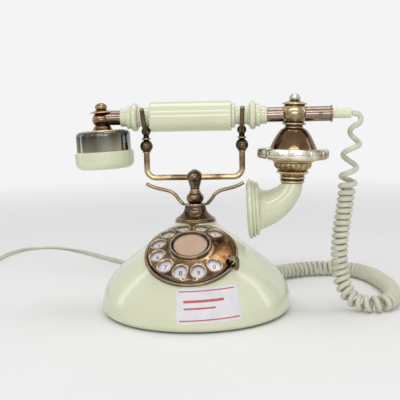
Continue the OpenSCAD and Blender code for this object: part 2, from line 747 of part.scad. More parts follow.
ear_low = -47.5;
module ear_cap() {
    inner_r = ear_cap_r - 2.6;
    color(ivory) at_receiver() difference() {
        turned(concat([[cup_r - 3.4, cup_low + 3], [cup_r - 1.4, cup_low + 3], [cup_r - 1.4, cup_low],
            [ear_cap_r - 0.9, cup_low], [ear_cap_r - 0.1, cup_low - 0.9]],
            oval_arc([ear_cap_r - 6, cup_low - 10], 6, 6.5, 0, -80, 7),
            [[ear_cap_r - 7.4, ear_low], [14, ear_low + 1.2], [0, ear_low + 2.2], [0, ear_low + 4.2],
            [14, ear_low + 3.4], [inner_r - 5, ear_low + 3], [inner_r - 1, ear_low + 6],
            [cup_r - 3.4, cup_low - 1.5]]));
        for (a = [0 : 60 : 300]) rotate([0, 0, a]) translate([8, 0, ear_low - 1])
            cylinder(r = 1.4, h = 8, $fn = 24);
        translate([0, 0, ear_low - 1]) cylinder(r = 1.4, h = 8, $fn = 24);
    }
}

module receiver_element() {
    color(black) at_receiver() translate([0, 0, ear_low + 4.4]) cylinder(r = 18, h = 9, $fn = 48);
}

// Transmitter heights are measured the same way
dome_top = -12.6;
module transmitter_hub() {
    barrel = oval_arc([0, 0.9], 10.2, 12.4, -38, 38, 8);
    button = oval_arc([0, 14.6], 5.5, 4.4, 0, 90, 6);
    color(brass) difference() {
        at_transmitter() turned(concat([[0, dome_top], [9, dome_top], [9.1, -11.9], [8.3, -11.2], [8.3, -10],
            [10.8, -9.2], [11, -8.4], [10.6, -7.6], [8.4, -7]], barrel, [[8.4, 9], [11.4, 9.3], [11.7, 9.9],
            [11, 10.6], [6.4, 12.4], [4.4, 12.9], [4.6, 14]], button));
        bar_x(transmitter_x - 30, transmitter_x + 30, handset_tube_r + 0.02);
    }
}

dome_low = -31.6;
module transmitter_dome() {
    outer = [for (i = [0 : 8]) let (f = i / 8)
        [9.1 + 12.9 * pow(f, 0.62), dome_top + (dome_low - dome_top) * f]];
    inner = [for (i = [7 : -1 : 2]) outer[i] - [1.4, 0.6]];
    color(brass) at_transmitter() turned(concat([[0, dome_top]], outer, [[outer[8][0] - 1.4, dome_low]], inner,
        [[0, dome_top - 3]]));
}

ring_low = -41.1;
lobes = 8;
lobe_r = 0.42 * ring_r;
lobe_turn = -12;
module lobed_outline(grow) {
    union() {
        circle(r = ring_r - lobe_r - 0.5, $fn = 96);
        for (i = [0 : lobes - 1]) rotate([0, 0, (i + 0.5) * 360 / lobes + lobe_turn])
            translate([ring_r - lobe_r, 0]) circle(r = lobe_r + grow, $fn = 48);
    }
}

// Scalloped ring with a small step above and below its band
module lobed_ring() {
    color(pale_gold) at_transmitter() difference() {
        union() {
            translate([0, 0, ring_low + 0.9]) linear_extrude(dome_low - ring_low - 1.8) lobed_outline(0);
            translate([0, 0, ring_low]) linear_extrude(dome_low - ring_low) lobed_outline(-1);
        }
        translate([0, 0, ring_low - 1]) cylinder(r = 12, h = 20, $fn = 64);
    }
}

lower_low = -64;
module transmitter_cup() {
    z0 = ring_low - 1.8;
    color(brass) at_transmitter() turned([[0, ring_low], [24, ring_low], [24.4, ring_low - 0.8],
        [23, ring_low - 1.5], [18.4, z0], [18.6, z0 - 1.2], [17.4, z0 - 2.6],
        [16.6, z0 - 5], [14.6, z0 - 8], [13.4, z0 - 9.6], [14.2, z0 - 10.2], [14.3, z0 - 11.4],
        [13.2, z0 - 12.2],
        [11.4, z0 - 13.6], [11, z0 - 14.8], [11.9, z0 - 15.4], [11.9, z0 - 16.4], [10.8, z0 - 17.2],
        [10.6, z0 - 18.6], [11.4, z0 - 19.2], [11.4, z0 - 20.2], [10.6, lower_low], [0, lower_low]]);
}

// The elbow's middle line bends from straight down to nearly level
elbow_start = [transmitter_x + lower_low * sin(transmitter_lean), col_y,
    handset_z + lower_low * cos(transmitter_lean)];
elbow_bend = elbow_start - 22.6 * [sin(transmitter_lean), 0, cos(transmitter_lean)];
elbow_end = elbow_start + [-29.6, 0, -23.6];
elbow_r = 9.6;
elbow_end_r = 19.5;
function elbow_at(t) = (1 - t) * (1 - t) * elbow_start + 2 * t * (1 - t) * elbow_bend + t * t * elbow_end;
function elbow_radius(t) = elbow_r + (elbow_end_r - elbow_r) * (0.5 * t + 0.5 * t * t);
mouth_dir = unit(elbow_end - elbow_bend);
mouth_turn = atan2(-mouth_dir[2], -mouth_dir[0]);

module mouthpiece_elbow() {
    steps = 12;
    sides = 28;
    path = concat([elbow_at(0)], [for (i = [1 : steps]) elbow_at(i / steps)], [elbow_end + 1.2 * mouth_dir]);
    rad = concat([for (i = [0 : steps]) elbow_radius(i / steps)], [elbow_end_r + 2.4]);
    bore = [for (r = rad) r - 2.6];
    t = [for (i = [0 : steps + 1]) i == 0 ? unit(elbow_bend - elbow_start) : (i > steps ? mouth_dir
        : unit(elbow_at(min(1, i / steps + 0.01)) - elbow_at(i / steps - 0.01)))];
    rows = len(path);
    side = [0, 1, 0];
    outer = [for (i = [0 : rows - 1]) ring(path[i], side, cross(t[i], side), rad[i], rad[i], sides)];
    inner = [for (i = [rows - 1 : -1 : 0]) ring(path[i], side, cross(t[i], side), bore[i], bore[i], sides)];
    all_rings = concat(outer, inner);
    n = len(all_rings);
    faces = [for (i = [0 : n - 1], j = [0 : sides - 1])
        let (a = i * sides + j, b = i * sides + (j + 1) % sides, c = ((i + 1) % n) * sides + (j + 1) % sides,
             d = ((i + 1) % n) * sides + j)
        each [[a, c, b], [a, d, c]]];
    color(ivory) polyhedron([for (r = all_rings) each r], faces);
}

module at_mouth() {
    translate(elbow_end + 1.2 * mouth_dir) rotate([0, -90 - mouth_turn, 0]) children();
}

module mouthpiece_rim() {
    m = mouth_r;
    color(ivory) at_mouth() difference() {
        turned([[16, 0], [m - 6, 0], [m - 4.4, 0.6], [m - 3.6, 1.6], [m - 3.6, 2.4], [m - 2.6, 2.7],
            [m - 1.6, 3.4],
            [m - 1.5, 4.9], [m - 0.7, 5.3], [m, 6.3], [m, 9], [m - 0.6, 10], [m - 2.4, 10.9], [m - 5, 11.6],
            [m - 8, 11.7], [m - 10, 10.9], [m - 15, 9.8], [0, 9.2], [0, 7.2], [m - 15, 7.6], [m - 9, 8.4],
            [m - 7.5, 6], [16, 2]]);
        for (a = [0 : 60 : 300]) rotate([0, 0, a]) translate([7, 0, 5]) cylinder(r = 1.3, h = 8, $fn = 24);
    }
}

module transmitter_element() {
    color(black) at_mouth() translate([0, 0, 2]) cylinder(r = 14, h = 5, $fn = 48);
}

module tube_end_flange() {
    color(brass) difference() {
        along_x() turned(concat([[0, tail_x]],
            disc_edge(tail_x, tail_x + end_flange_t, handset_tube_r + 0.9, 0.7), [[0, tail_x + end_flange_t]]));
        bar_x(tail_x - 1, tail_x + 5, 2);
    }
}

screw_x = transmitter_x + 23.8;
module set_screw_body() {
    translate([screw_x, col_y - handset_tube_r - 0.35, handset_z]) rotate([-90, 0, 0])
        cylinder(r = 1.7, h = 3, $fn = 32);
}
module set_screw() {
    color(steel) difference() {
        set_screw_body();
        translate([screw_x - 2, col_y - handset_tube_r - 1, handset_z - 0.3]) cube([4, 1.2, 0.6]);
    }
}

sleeve_r = 4.55;
module cord_sleeve() {
    color(ivory) along_x() turned(concat([[0, tail_x + end_flange_t], [sleeve_r - 0.5, tail_x + end_flange_t],
        [sleeve_r, tail_x + end_flange_t + 0.5]],
        oval_arc([sleeve_r - 1.2, sleeve_x1 - 1.2], 1.2, 1.2, 0, 90, 4), [[0, sleeve_x1]]));
}

// ---------------------------------------------------------------- curly handset cord

wire_r = curly_wire_d / 2;
coil_mid_r = (curly_coil_d - curly_wire_d) / 2;
exit_dir = [cos(handset_exit), sin(handset_exit), 0];
cord_foot = (base_r + exit_l) * exit_dir + [0, 0, exit_z];
sleeve_gap = 0.9;        // so that the sleeve clears the cord's end as the handset is lifted

// Middle line of the curly cord, from the handset's sleeve down to the base
low = curly_coil_d / 2 + 0.1;
curly_route = concat(
    [[sleeve_x1 + sleeve_gap, col_y, handset_z], [sleeve_x1 + 5, col_y, handset_z]],
    [[154, 8, 177], [150, 6, 166], [146, 4, 152], [144, 3, 137], [142.5, 2, 121], [140.5, 1, 106],
     [138.5, 0, 91], [136, -1, 76], [134.5, -2, 62], [134, -2, 48], [135, -2, 36], [137, -4, 25],
     [142, -8, 15], [150, -13, 9.5], [160, -17, low], [170.5, -15.5, low], [179.5, -6, low],
     [185.5, 10, low], [188.5, 32, low], [188.5, 56, low], [185.5, 80, low], [180, 104, low],
     [170, 125, low], [155, 138.5, low], [137, 143.5, low], [118, 141.5, low], [100, 134, low],
     [84, 122.5, low], [71, 108.5, low]],
    [cord_foot + 6 * exit_dir, cord_foot]);

curly_dense = dense(curly_route, 12);
curly_tabs = tables(curly_dense);
curly_l = table_end(curly_tabs);
curly_lead = 5.5;        // straight length at each end
curls = 60;
stretched = 3.2;         // curls pulled open under the handset
stretched_end = 76;      // and the length along the middle line at which they end
// Length on the inner side of each bend, up to each point of the middle line
curly_s_at = running(curly_dense);
curly_headings = headings(curly_dense);
function turn_between(a, b) = acos(min(1, a * b)) * PI / 180;
inner_l = [for (i = 0, s = 0; i < len(curly_dense);
    s = s + (i + 1 < len(curly_dense) ? curly_s_at[i + 1] - curly_s_at[i]
        - coil_mid_r * turn_between(curly_headings[i], curly_headings[i + 1]) : 0), i = i + 1) s];
inner_tab = [for (i = [0 : len(curly_dense) - 1]) [curly_s_at[i], inner_l[i]]];
inner_from = lookup(stretched_end, inner_tab);
inner_to = lookup(curly_l - curly_lead, inner_tab);
// Curls by length along the middle line: three stretched, the rest evenly close on their inner side
curl_plan = concat([[0, curly_lead], [stretched, stretched_end]],
    [for (i = [0 : len(curly_dense) - 1])
        if (curly_s_at[i] > stretched_end + 1 && curly_s_at[i] < curly_l - curly_lead - 1)
            [stretched + (curls - stretched) * (inner_l[i] - inner_from) / (inner_to - inner_from),
             curly_s_at[i]]],
    [[curls, curly_l - curly_lead]]);
rings_per_curl = 8;
function curly_reach(n) = let (e = min(n, curls - n)) coil_mid_r * min(1, e / 0.75)
    * (n < 3 ? 1.18 : (n < 4.5 ? 1.18 - 0.12 * (n - 3) : 1));

curly_n = curls * rings_per_curl;
curly_s = concat([0], [for (i = [0 : curly_n]) lookup(i / rings_per_curl, curl_plan)], [curly_l]);
curly_mid = [for (s = curly_s) at_length(curly_tabs, s)];
curly_dir = headings(curly_mid);
curly_side = sidelong(curly_dir, [0, 0, 1]);
function curl_turn(i) = 360 * min(max(i - 1, 0), curly_n) / rings_per_curl;
function curl_out(i) = let (a = curl_turn(i))
    curly_side[i] * cos(a) + cross(curly_dir[i], curly_side[i]) * sin(a);
curly_centres = [for (i = [0 : curly_n + 2])
    curly_mid[i] + curl_out(i) * curly_reach(min(max(i - 1, 0), curly_n) / rings_per_curl)];
curly_heading = headings(curly_centres);
curly_first = [1, 0, 0];
curly_last = -exit_dir;

module handset_cord() {
    last = curly_n + 2;
    color(cord_ivory) skin([for (i = [0 : last])
        let (t = i == 0 ? curly_first : (i == last ? curly_last : curly_heading[i]),
             u = squared(curl_out(i), t))
        ring(curly_centres[i], u, cross(t, u), wire_r, wire_r, 6)]);
}

// Least gap of the curly cord to itself, over points at least half a curl apart
curly_gaps = [for (i = [0 : len(curly_centres) - 6])
    min([for (j = [i + 5 : 1 : min(i + 13, len(curly_centres) - 1)]) norm(curly_centres[i] - curly_centres[j])])
        - curly_wire_d];
curly_gap = min(curly_gaps);
curly_wire_l = running(curly_centres)[len(curly_centres) - 1];
tight_rings = [for (i = [0 : len(curly_gaps) - 1]) if (curly_gaps[i] < 0.4) i];
echo(curly_gap = curly_gap, tight_rings = tight_rings, curly_wire = curly_wire_l, curly_route = curly_l);

// ---------------------------------------------------------------- flat line cord and its coil

line_dir = [cos(line_exit), sin(line_exit), 0];
line_start = (base_r + exit_l) * line_dir + [0, 0, exit_z];
edge_z = line_w / 2;     // height of the cord's middle where it stands on edge
flat_z = line_t / 2;

// Stored coil: a lower layer wound inwards and an upper layer wound outwards
coil_centre = [-309.8, 218.3, 0];
coil_out_r = 36;
turn_pitch = line_t + 0.6;
layer_rise = line_w + 1.2;
coil_dip = 1.8;          // how far the climbing half turn is drawn in
coil_in_r = coil_out_r - coil_turns * turn_pitch;
upper_pitch = (coil_out_r + turn_pitch - coil_in_r) / coil_turns;
climb_end = coil_turns + 0.5;
wound = climb_end + coil_turns;
coil_total = wound + 0.25;
// Radius and height of the coil's middle line after n turns
function coil_radius(n) = n < coil_turns ? coil_out_r - turn_pitch * n
    : (n < climb_end ? coil_in_r - coil_dip * sin(360 * (n - coil_turns))
    : (n < wound ? coil_in_r + upper_pitch * (n - climb_end) : coil_out_r + turn_pitch + 24 * (n - wound)));
function coil_height(n) = let (up = min(1, max(0, (n - coil_turns) / 0.5)),
    down = min(1, max(0, (n - wound) / 0.23)))
    edge_z + layer_rise * (smooth_step(up) - smooth_step(down));
function coil_at(n) = let (a = -360 * n)
    coil_centre + [coil_radius(n) * cos(a), coil_radius(n) * sin(a), coil_height(n)];
coil_rings = 24;
coil_n = round(coil_total * coil_rings);
coil_mid = [for (i = [0 : coil_n]) coil_at(i / coil_rings)];

coil_in_dir = [0, -1, 0];
line_route = [concat(line_start, 90), concat(line_start + 5 * line_dir, 90),
    [-47, 104, 5.6, 90], [-53, 122, edge_z + 0.9, 90], [-66, 150, edge_z + 0.1, 90],
    [-86, 182, edge_z + 0.02, 90], [-108, 210, edge_z + 0.02, 90], [-132, 236, edge_z + 0.02, 90],
    [-156, 263, edge_z + 0.02, 80], [-181, 291, flat_z + 1.1, 45], [-206, 314, flat_z + 0.35, 10],
    [-228, 323, flat_z + 0.15, 0], [-246, 320, flat_z + 0.25, 0], [-259, 307, flat_z + 1.1, 40],
    [-267, 288, edge_z, 80], [-271.5, 266, edge_z, 90], [-273.5, 244, edge_z, 90],
    concat(coil_mid[0] - 8 * coil_in_dir, 90), concat(coil_mid[0], 90)];

// Six-sided flat section; roll 0 lies flat and roll 90 stands on edge
function flat_ring(c, t, roll) =
    let (flat = unit(cross([0, 0, 1], t)), up = cross(t, flat),
         u = flat * cos(roll) + up * sin(roll), v = cross(t, u), w = line_w / 2, h = line_t / 2)
    [for (p = [[1, 0], [0.62, 1], [-0.62, 1], [-1, 0], [-0.62, -1], [0.62, -1]])
        c + u * w * p[0] + v * h * p[1]];

line_rings = 76;
line_tabs = tables(dense(line_route, 10));
line_l = table_end(line_tabs);
module line_cord() {
    q = [for (i = [0 : line_rings]) at_length(line_tabs, line_l * i / line_rings)];
    t = headings(q);
    color(cord_ivory) skin([for (i = [0 : line_rings])
        flat_ring(lead3(q[i]), i == 0 ? line_dir : (i == line_rings ? coil_in_dir : t[i]), q[i][3])]);
}

module line_cord_coil() {
    t = headings(coil_mid);
    color(cord_ivory) skin([for (i = [0 : coil_n]) flat_ring(coil_mid[i], i == 0 ? coil_in_dir : t[i], 90)]);
}

coil_gap = min([for (i = [0 : coil_n], j = [i + 12 : 1 : coil_n]) let (d = coil_mid[i] - coil_mid[j])
    max(norm([d[0], d[1]]) - line_t, abs(d[2]) - line_w)]);
coil_l = running(coil_mid)[coil_n];
echo(coil_gap = coil_gap, coil_length = coil_l, line_length = line_l);

// Modular plug on the end of the line cord, lying beside the coil
plug_dir = unit(coil_mid[coil_n] - coil_mid[coil_n - 1]);
module line_plug() {
    c = coil_mid[coil_n];
    color([0.9, 0.9, 0.9, 0.5]) translate([c[0], c[1], 0]) rotate([0, 0, atan2(plug_dir[1], plug_dir[0])]) {
        translate([0, -4.8, 0]) cube([12, 9.6, 6.6]);
        translate([4, -1.6, 6.6]) cube([8, 3.2, 1.4]);
    }
}

base_pad();
base_plate();
base_plate_screws();
base_housing();
column_foot();
column_collar();
column_tube();
column_nut();
left_wing_arm();
right_wing_arm();
dial_bezel();
number_plate();
finger_stop();
dial_frame();
finger_wheel();
card_ring();
dial_card();
card_window();
dial_shaft();
main_gear();
governor();
yoke_hub();
cradle_bar();
left_fork();
right_fork();
plunger_rod();
hook_spring();
spring_bridge();
hook_switch();
ringer_frame();
ringer_coil();
ringer_gongs();
clapper();
circuit_board();
grip_barrel();
handset_tube();
left_ferrule();
right_ferrule();
receiver_hub();
receiver_cup();
receiver_element();
ear_cap();
transmitter_hub();
transmitter_dome();
lobed_ring();
transmitter_cup();
mouthpiece_elbow();
mouthpiece_rim();
transmitter_element();
tube_end_flange();
set_screw();
cord_sleeve();
handset_cord_grommet();
handset_cord();
line_cord_grommet();
line_cord();
line_cord_coil();
line_plug();
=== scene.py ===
"""Looks of an ivory and brass cradle telephone, built round its frame.

Lengths inside this file are millimetres in the frame's axes: +Z is up, the dial faces -Y and the
handset lies along X. A surface here is (points, quads, triangles), all worked out as whole arrays.
"""

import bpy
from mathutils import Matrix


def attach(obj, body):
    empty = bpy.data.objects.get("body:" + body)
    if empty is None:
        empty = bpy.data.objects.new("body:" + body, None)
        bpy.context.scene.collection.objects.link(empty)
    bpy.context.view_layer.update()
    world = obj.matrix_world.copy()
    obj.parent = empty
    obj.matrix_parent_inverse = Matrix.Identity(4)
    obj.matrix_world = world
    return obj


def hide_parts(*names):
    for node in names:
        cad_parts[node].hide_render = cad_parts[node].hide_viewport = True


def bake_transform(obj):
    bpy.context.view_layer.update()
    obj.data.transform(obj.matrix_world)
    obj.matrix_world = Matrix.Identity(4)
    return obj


bl_info = {
    "name": "Cradle Telephone Looks",
    "version": (1, 0, 0),
    "blender": (4, 5, 0),
    "location": "View3D > Sidebar > Telephone",
    "description": "Makes the surfaces, finishes, cords and stage of a cradle telephone",
    "category": "Object",
}

import math

import bpy
import bmesh
import numpy as np
from mathutils import Matrix

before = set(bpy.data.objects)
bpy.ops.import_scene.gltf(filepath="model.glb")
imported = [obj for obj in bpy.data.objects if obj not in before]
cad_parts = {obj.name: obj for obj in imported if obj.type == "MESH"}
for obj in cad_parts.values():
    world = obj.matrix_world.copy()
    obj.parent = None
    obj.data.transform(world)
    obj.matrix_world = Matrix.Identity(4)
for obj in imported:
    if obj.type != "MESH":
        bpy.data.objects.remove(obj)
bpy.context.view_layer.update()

# ---------------------------------------------------------------- sizes shared with the frame

MM = 0.001

# Housing, round the upright axis through the origin
base_r, bulge_z = 88.5, 8.0            # widest radius and its height
pad_t, plate_top = 1.5, 3.5            # thickness of the pad and top of the steel base plate
neck_foot_r, neck_low, top_z = 20.3, 81.93, 82.7

# Dial: the middle of its seat, its tilt in degrees, and heights square to the seat
dial_fwd, dial_z, dial_tilt = 50.0, 63.0, 30.2
seat_z, plate_z, hub_top = -2.6, -1.4, 7.4
seat_r, bezel_r, bezel_in_r = 39.6, 41.2, 33.6
wheel_r, hub_r, card_r = 37.7, 19.0, 15.4
plate_r, plate_in_r = 36.2, 20.4
hole_circle_r, finger_hole_r = 30.0, 6.0
first_hole, hole_step, stop_angle = 46.0, 30.0, -20.0

# Column and cradle: heights, and radii of the round pieces
col_y, foot_r = 8.0, 19.1
collar_z, bar_z, knob_z, top_knob_z, handset_z = 97.3, 124.5, 154.3, 168.4, 181.6
fork_half, knob_r, top_knob_r, prong_r = 45.0, 6.0, 4.4, 2.2

# Handset: places along X and radii
grip_x0, grip_x1, collar_x1 = -40.45, 35.65, 38.95
left_flange_x, right_flange_x, flange_w, steps_w = -51.95, 52.15, 6.1, (4.1, 6.0)
receiver_x, transmitter_x = -86.75, 93.85
tube_x0, tail_x, sleeve_x0, sleeve_x1 = receiver_x - 2, 126.65, 128.65, 145.85
grip_r, neck_r, flange_r, tube_r, tube_in_r = 14.0, 8.5, 13.4, 6.9, 5.7
receiver_lean, transmitter_lean = 2.5, 2.2       # degrees from upright

# Receiver and transmitter: radii, and heights under the tube's middle along each one's own axis
cup_r, ear_cap_r, ring_r, mouth_r = 25.6, 27.6, 34.0, 28.4
cup_top, cup_low, ear_low = -12.0, -31.0, -47.5
dome_top, dome_low, ring_low, spool_low = -12.6, -31.6, -41.1, -64.0
lobes, lobe_turn = 8, -12.0

# Cords: where they leave the housing
exit_l, exit_z, handset_exit, line_exit = 5.6, 8.2, 57.0, 115.0


def srgb(red, green, blue):
    """Linear colour of a shade written as 0 to 255: ((c + 0.055) / 1.055) ** 2.4."""
    c = np.array([red, green, blue]) / 255
    return tuple(np.where(c < 0.04045, c / 12.92, ((c + 0.055) / 1.055) ** 2.4).tolist())


# ---------------------------------------------------------------- surfaces

no_quads, no_tris = np.zeros((0, 4), int), np.zeros((0, 3), int)


def around(r, a, z):
    """Points (r cos a, r sin a, z)."""
    return np.stack(np.broadcast_arrays(r * np.cos(a), r * np.sin(a), z), -1)


def oval(centre, rx, ry, start, end, count):
    """Arc centre + (rx cos a, ry sin a) for count + 1 angles a from start to end, in degrees."""
    a = np.radians(np.linspace(start, end, count + 1))
    return np.stack([centre[0] + rx * np.cos(a), centre[1] + ry * np.sin(a)], -1)


def row(*parts):
    """One outline from points and rows of points."""
    return np.vstack([np.atleast_2d(np.asarray(p, float)) for p in parts])


def rod(radius, low, high):
    """Outline of a plain rod or disc, from its axis round to its axis."""
    return [(0, low), (radius, low), (radius, high), (0, high)]


def rounded(outline, radius=0.4, steps=3, closed=False):
    """Outline whose corners b become (1-t)^2 a + 2t(1-t) b + t^2 c.

    a and c lie radius away from b along its two edges, or 0.36 of an edge if that is less, and
    a little further out a point on each edge keeps the long faces flat in the shading.
    """
    p = np.asarray(outline, float)
    if closed:
        back, corner, on = np.roll(p, 1, 0), p, np.roll(p, -1, 0)
    else:
        back, corner, on = p[:-2], p[1:-1], p[2:]
    reach = np.broadcast_to(radius, len(p))
    reach = reach if closed else reach[1:-1]
    ways = []
    for other in (back, on):
        way = other - corner
        length = np.maximum(np.linalg.norm(way, axis=1), 1e-9)
        ways.append(way * (np.minimum(reach, 0.36 * length) / length)[:, None])
    t = np.linspace(0, 1, steps + 1)[None, :, None]
    a, b, c = (corner + ways[0])[:, None], corner[:, None], (corner + ways[1])[:, None]
    curve = (1 - t) ** 2 * a + 2 * t * (1 - t) * b + t ** 2 * c
    outer = [(corner + 1.3 * way)[:, None] for way in ways]
    whole = np.concatenate([outer[0], curve, outer[1]], 1).reshape(-1, 2)
    return whole if closed else np.vstack([p[:1], whole, p[-1:]])


def grid_quads(rows, cols, close_rows=False, close_cols=True):
    """Faces of a grid: (i, j) with (i, j+1), (i+1, j+1) and (i+1, j), round again if closed."""
    i = np.arange(rows if close_rows else rows - 1)[:, None]
    j = np.arange(cols if close_cols else cols - 1)[None, :]
    k, m = (i + 1) % rows, (j + 1) % cols
    return np.stack([i * cols + j, i * cols + m, k * cols + m, k * cols + j], -1).reshape(-1, 4)


def outward(points, quads, tris):
    """The same surface, with its faces turned over if their sum of a . (b x c) is negative."""
    all_tris = np.vstack([quads[:, [0, 1, 2]], quads[:, [0, 2, 3]], tris])
    a, b, c = (points[all_tris[:, k]] for k in range(3))
    if np.einsum("ij,ij", a - points.mean(0), np.cross(b - points.mean(0), c - points.mean(0))) < 0:
        quads, tris = quads[:, ::-1], tris[:, ::-1]
    return points, quads, tris


def closed_grid(rings, low=None, high=None, close_rows=False):
    """Surface through rings[i, j], round again in j, with a pole at either end if one is given."""
    rows, cols = rings.shape[:2]
    points, tris = rings.reshape(-1, 3), no_tris
    j = np.arange(cols)
    for pole, first in ((low, 0), (high, (rows - 1) * cols)):
        if pole is None:
            continue
        tip = np.full(cols, len(points))
        pair = first + j, first + (j + 1) % cols
        tris = np.vstack([tris, np.stack([tip, *(pair[::-1] if pole is low else pair)], -1)])
        points = np.vstack([points, np.asarray(pole, float)])
    return outward(points, grid_quads(rows, cols, close_rows), tris)


def turned(outline, sides=96, relief=None):
    """Points ((r + relief) cos a, (r + relief) sin a, z) for the outline's (r, z) and each angle a.

    An outline that ends on the axis has poles there; any other is closed into a ring.
    """
    p = np.asarray(outline, float)
    on_axis = p[0, 0] < 1e-6
    body = p[1:-1] if on_axis else p
    a = np.linspace(0, 2 * np.pi, sides, endpoint=False)
    r, z = body[:, :1], body[:, 1:]
    if relief is not None:
        r = r + relief(r, z, a)
    poles = ([0, 0, p[0, 1]], [0, 0, p[-1, 1]]) if on_axis else (None, None)
    return closed_grid(around(r, a, z), *poles, close_rows=not on_axis)


def joined(*surfaces):
    """Several surfaces as one, with their points in a row."""
    points, quads, tris, first = [], [], [], 0
    for p, q, t in surfaces:
        points.append(p)
        quads.append(q + first)
        tris.append(t + first)
        first += len(p)
    return np.vstack(points), np.vstack(quads), np.vstack(tris)


def placed(surface, place):
    """A surface with a placement done to its points."""
    return (place(surface[0]), *surface[1:])


def about(axis, degrees):
    """Rotation by an angle about X, Y or Z: the other two axes turn as (c, -s), (s, c)."""
    c, s = math.cos(math.radians(degrees)), math.sin(math.radians(degrees))
    i, j = {"X": (1, 2), "Y": (2, 0), "Z": (0, 1)}[axis]
    m = np.eye(3)
    m[i, i], m[i, j], m[j, i], m[j, j] = c, -s, s, c
    return m


def moved(shift, axis="Z", degrees=0.0):
    """A placement: points are turned about an axis and then shifted."""
    m = about(axis, degrees).T
    return lambda p: p @ m + np.asarray(shift, float)


on_dial = moved((0, -dial_fwd, dial_z), "X", dial_tilt)
at_column = moved((0, col_y, 0))
along_x = moved((0, col_y, handset_z), "Y", 90)
at_receiver = moved((receiver_x, col_y, handset_z), "Y", -receiver_lean)
at_transmitter = moved((transmitter_x, col_y, handset_z), "Y", transmitter_lean)


def unit(v):
    """Vectors at unit length."""
    return v / np.linalg.norm(v, axis=-1, keepdims=True)


def level_way(degrees):
    """Level unit direction at an angle from +X towards +Y."""
    return np.array([math.cos(math.radians(degrees)), math.sin(math.radians(degrees)), 0])


def ease(x):
    """Smooth step 3 x^2 - 2 x^3 of x, held between 0 and 1."""
    x = np.clip(x, 0, 1)
    return x * x * (3 - 2 * x)


def spline(points, count):
    """Curve through the points, with count steps from each to the next.

    Between b and c it is 0.5 (2b + (c-a) f + (2a-5b+4c-d) f^2 + (3b-a-3c+d) f^3) at the share f.
    """
    p = np.asarray(points, float)
    t = np.arange(count * (len(p) - 1) + 1) / count
    i = np.minimum(t.astype(int), len(p) - 2)
    f = (t - i)[:, None]
    a, b, c, d = p[np.maximum(i - 1, 0)], p[i], p[i + 1], p[np.minimum(i + 2, len(p) - 1)]
    return 0.5 * (2 * b + (c - a) * f + (2 * a - 5 * b + 4 * c - d) * f ** 2
                  + (3 * b - a - 3 * c + d) * f ** 3)


def running(path):
    """Length along a path at each of its points."""
    step = np.linalg.norm(np.diff(path[:, :3], axis=0), axis=1)
    return np.concatenate([[0], np.cumsum(step)])


def at_lengths(path, s):
    """Points of a path at the lengths s along it."""
    along = running(path)
    return np.stack([np.interp(s, along, path[:, k]) for k in range(path.shape[1])], -1)


def headings(path):
    """Unit directions of a path, from the point before to the point after."""
    p = path[:, :3]
    last = len(p) - 1
    i = np.arange(len(p))
    return unit(p[np.minimum(i + 1, last)] - p[np.maximum(i - 1, 0)])


def square_to(v, t):
    """Part of v square to t, at unit length."""
    return unit(v - t * np.sum(v * t, -1, keepdims=True))


def least_twist(t, first):
    """Side directions n and t x n along headings t that turn as little as possible.

    u is the part of a fixed direction square to t and w = t x u. From one point to the next, u
    seems to turn by the angle d in that frame, and the sum of these angles turns it back.
    """
    u = square_to(np.ones(3), t)
    w = np.cross(t, u)
    before = square_to(u[:-1], t[1:])
    d = np.arctan2(np.sum(before * w[1:], -1), np.sum(before * u[1:], -1))
    start = square_to(np.asarray(first, float), t[0])
    angle = math.atan2(start @ w[0], start @ u[0]) + np.concatenate([[0], np.cumsum(d)])
    n = u * np.cos(angle)[:, None] + w * np.sin(angle)[:, None]
    return n, np.cross(t, n)


def tube(path, u, v, a, b, sides=16, power=2.0):
    """Points path + u a x + v b y with (x, y) = (cos w, sin w), each raised to 2 / power.

    Power 2 is an oval, and a higher one is flatter with round corners. Both ends are closed.
    """
    w = np.linspace(0, 2 * np.pi, sides, endpoint=False)
    x = np.sign(np.cos(w)) * np.abs(np.cos(w)) ** (2 / power)
    y = np.sign(np.sin(w)) * np.abs(np.sin(w)) ** (2 / power)
    a, b = (np.broadcast_to(k, len(path))[:, None, None] for k in (a, b))
    rings = (path[:, None, :3] + u[:, None] * a * x[None, :, None]
             + v[:, None] * b * y[None, :, None])
    return closed_grid(rings, path[0, :3], path[-1, :3])


def upright_bar(path, half_y, half, sides, power=2.0, way=None):
    """Tube along a path in an upright plane; half_y is its half width along Y, half the other."""
    way = headings(path) if way is None else way
    side = np.broadcast_to([0, 1.0, 0], path.shape)
    return tube(path, side, np.cross(way, side), half_y, half, sides, power)


def dropped_ends(path, radius):
    """Path and radii of a bar with domed ends: radius sqrt(1 - h^2) at h radii past each end."""
    t = headings(path)
    h = np.sin(np.linspace(0, np.pi / 2, 5))[1:-1]
    r = np.broadcast_to(radius, len(path)).astype(float)
    low = path[0] - t[0] * r[0] * h[::-1, None]
    high = path[-1] + t[-1] * r[-1] * h[:, None]
    fall = np.sqrt(1 - h ** 2)
    return np.vstack([low, path, high]), np.concatenate([r[0] * fall[::-1], r, r[-1] * fall])


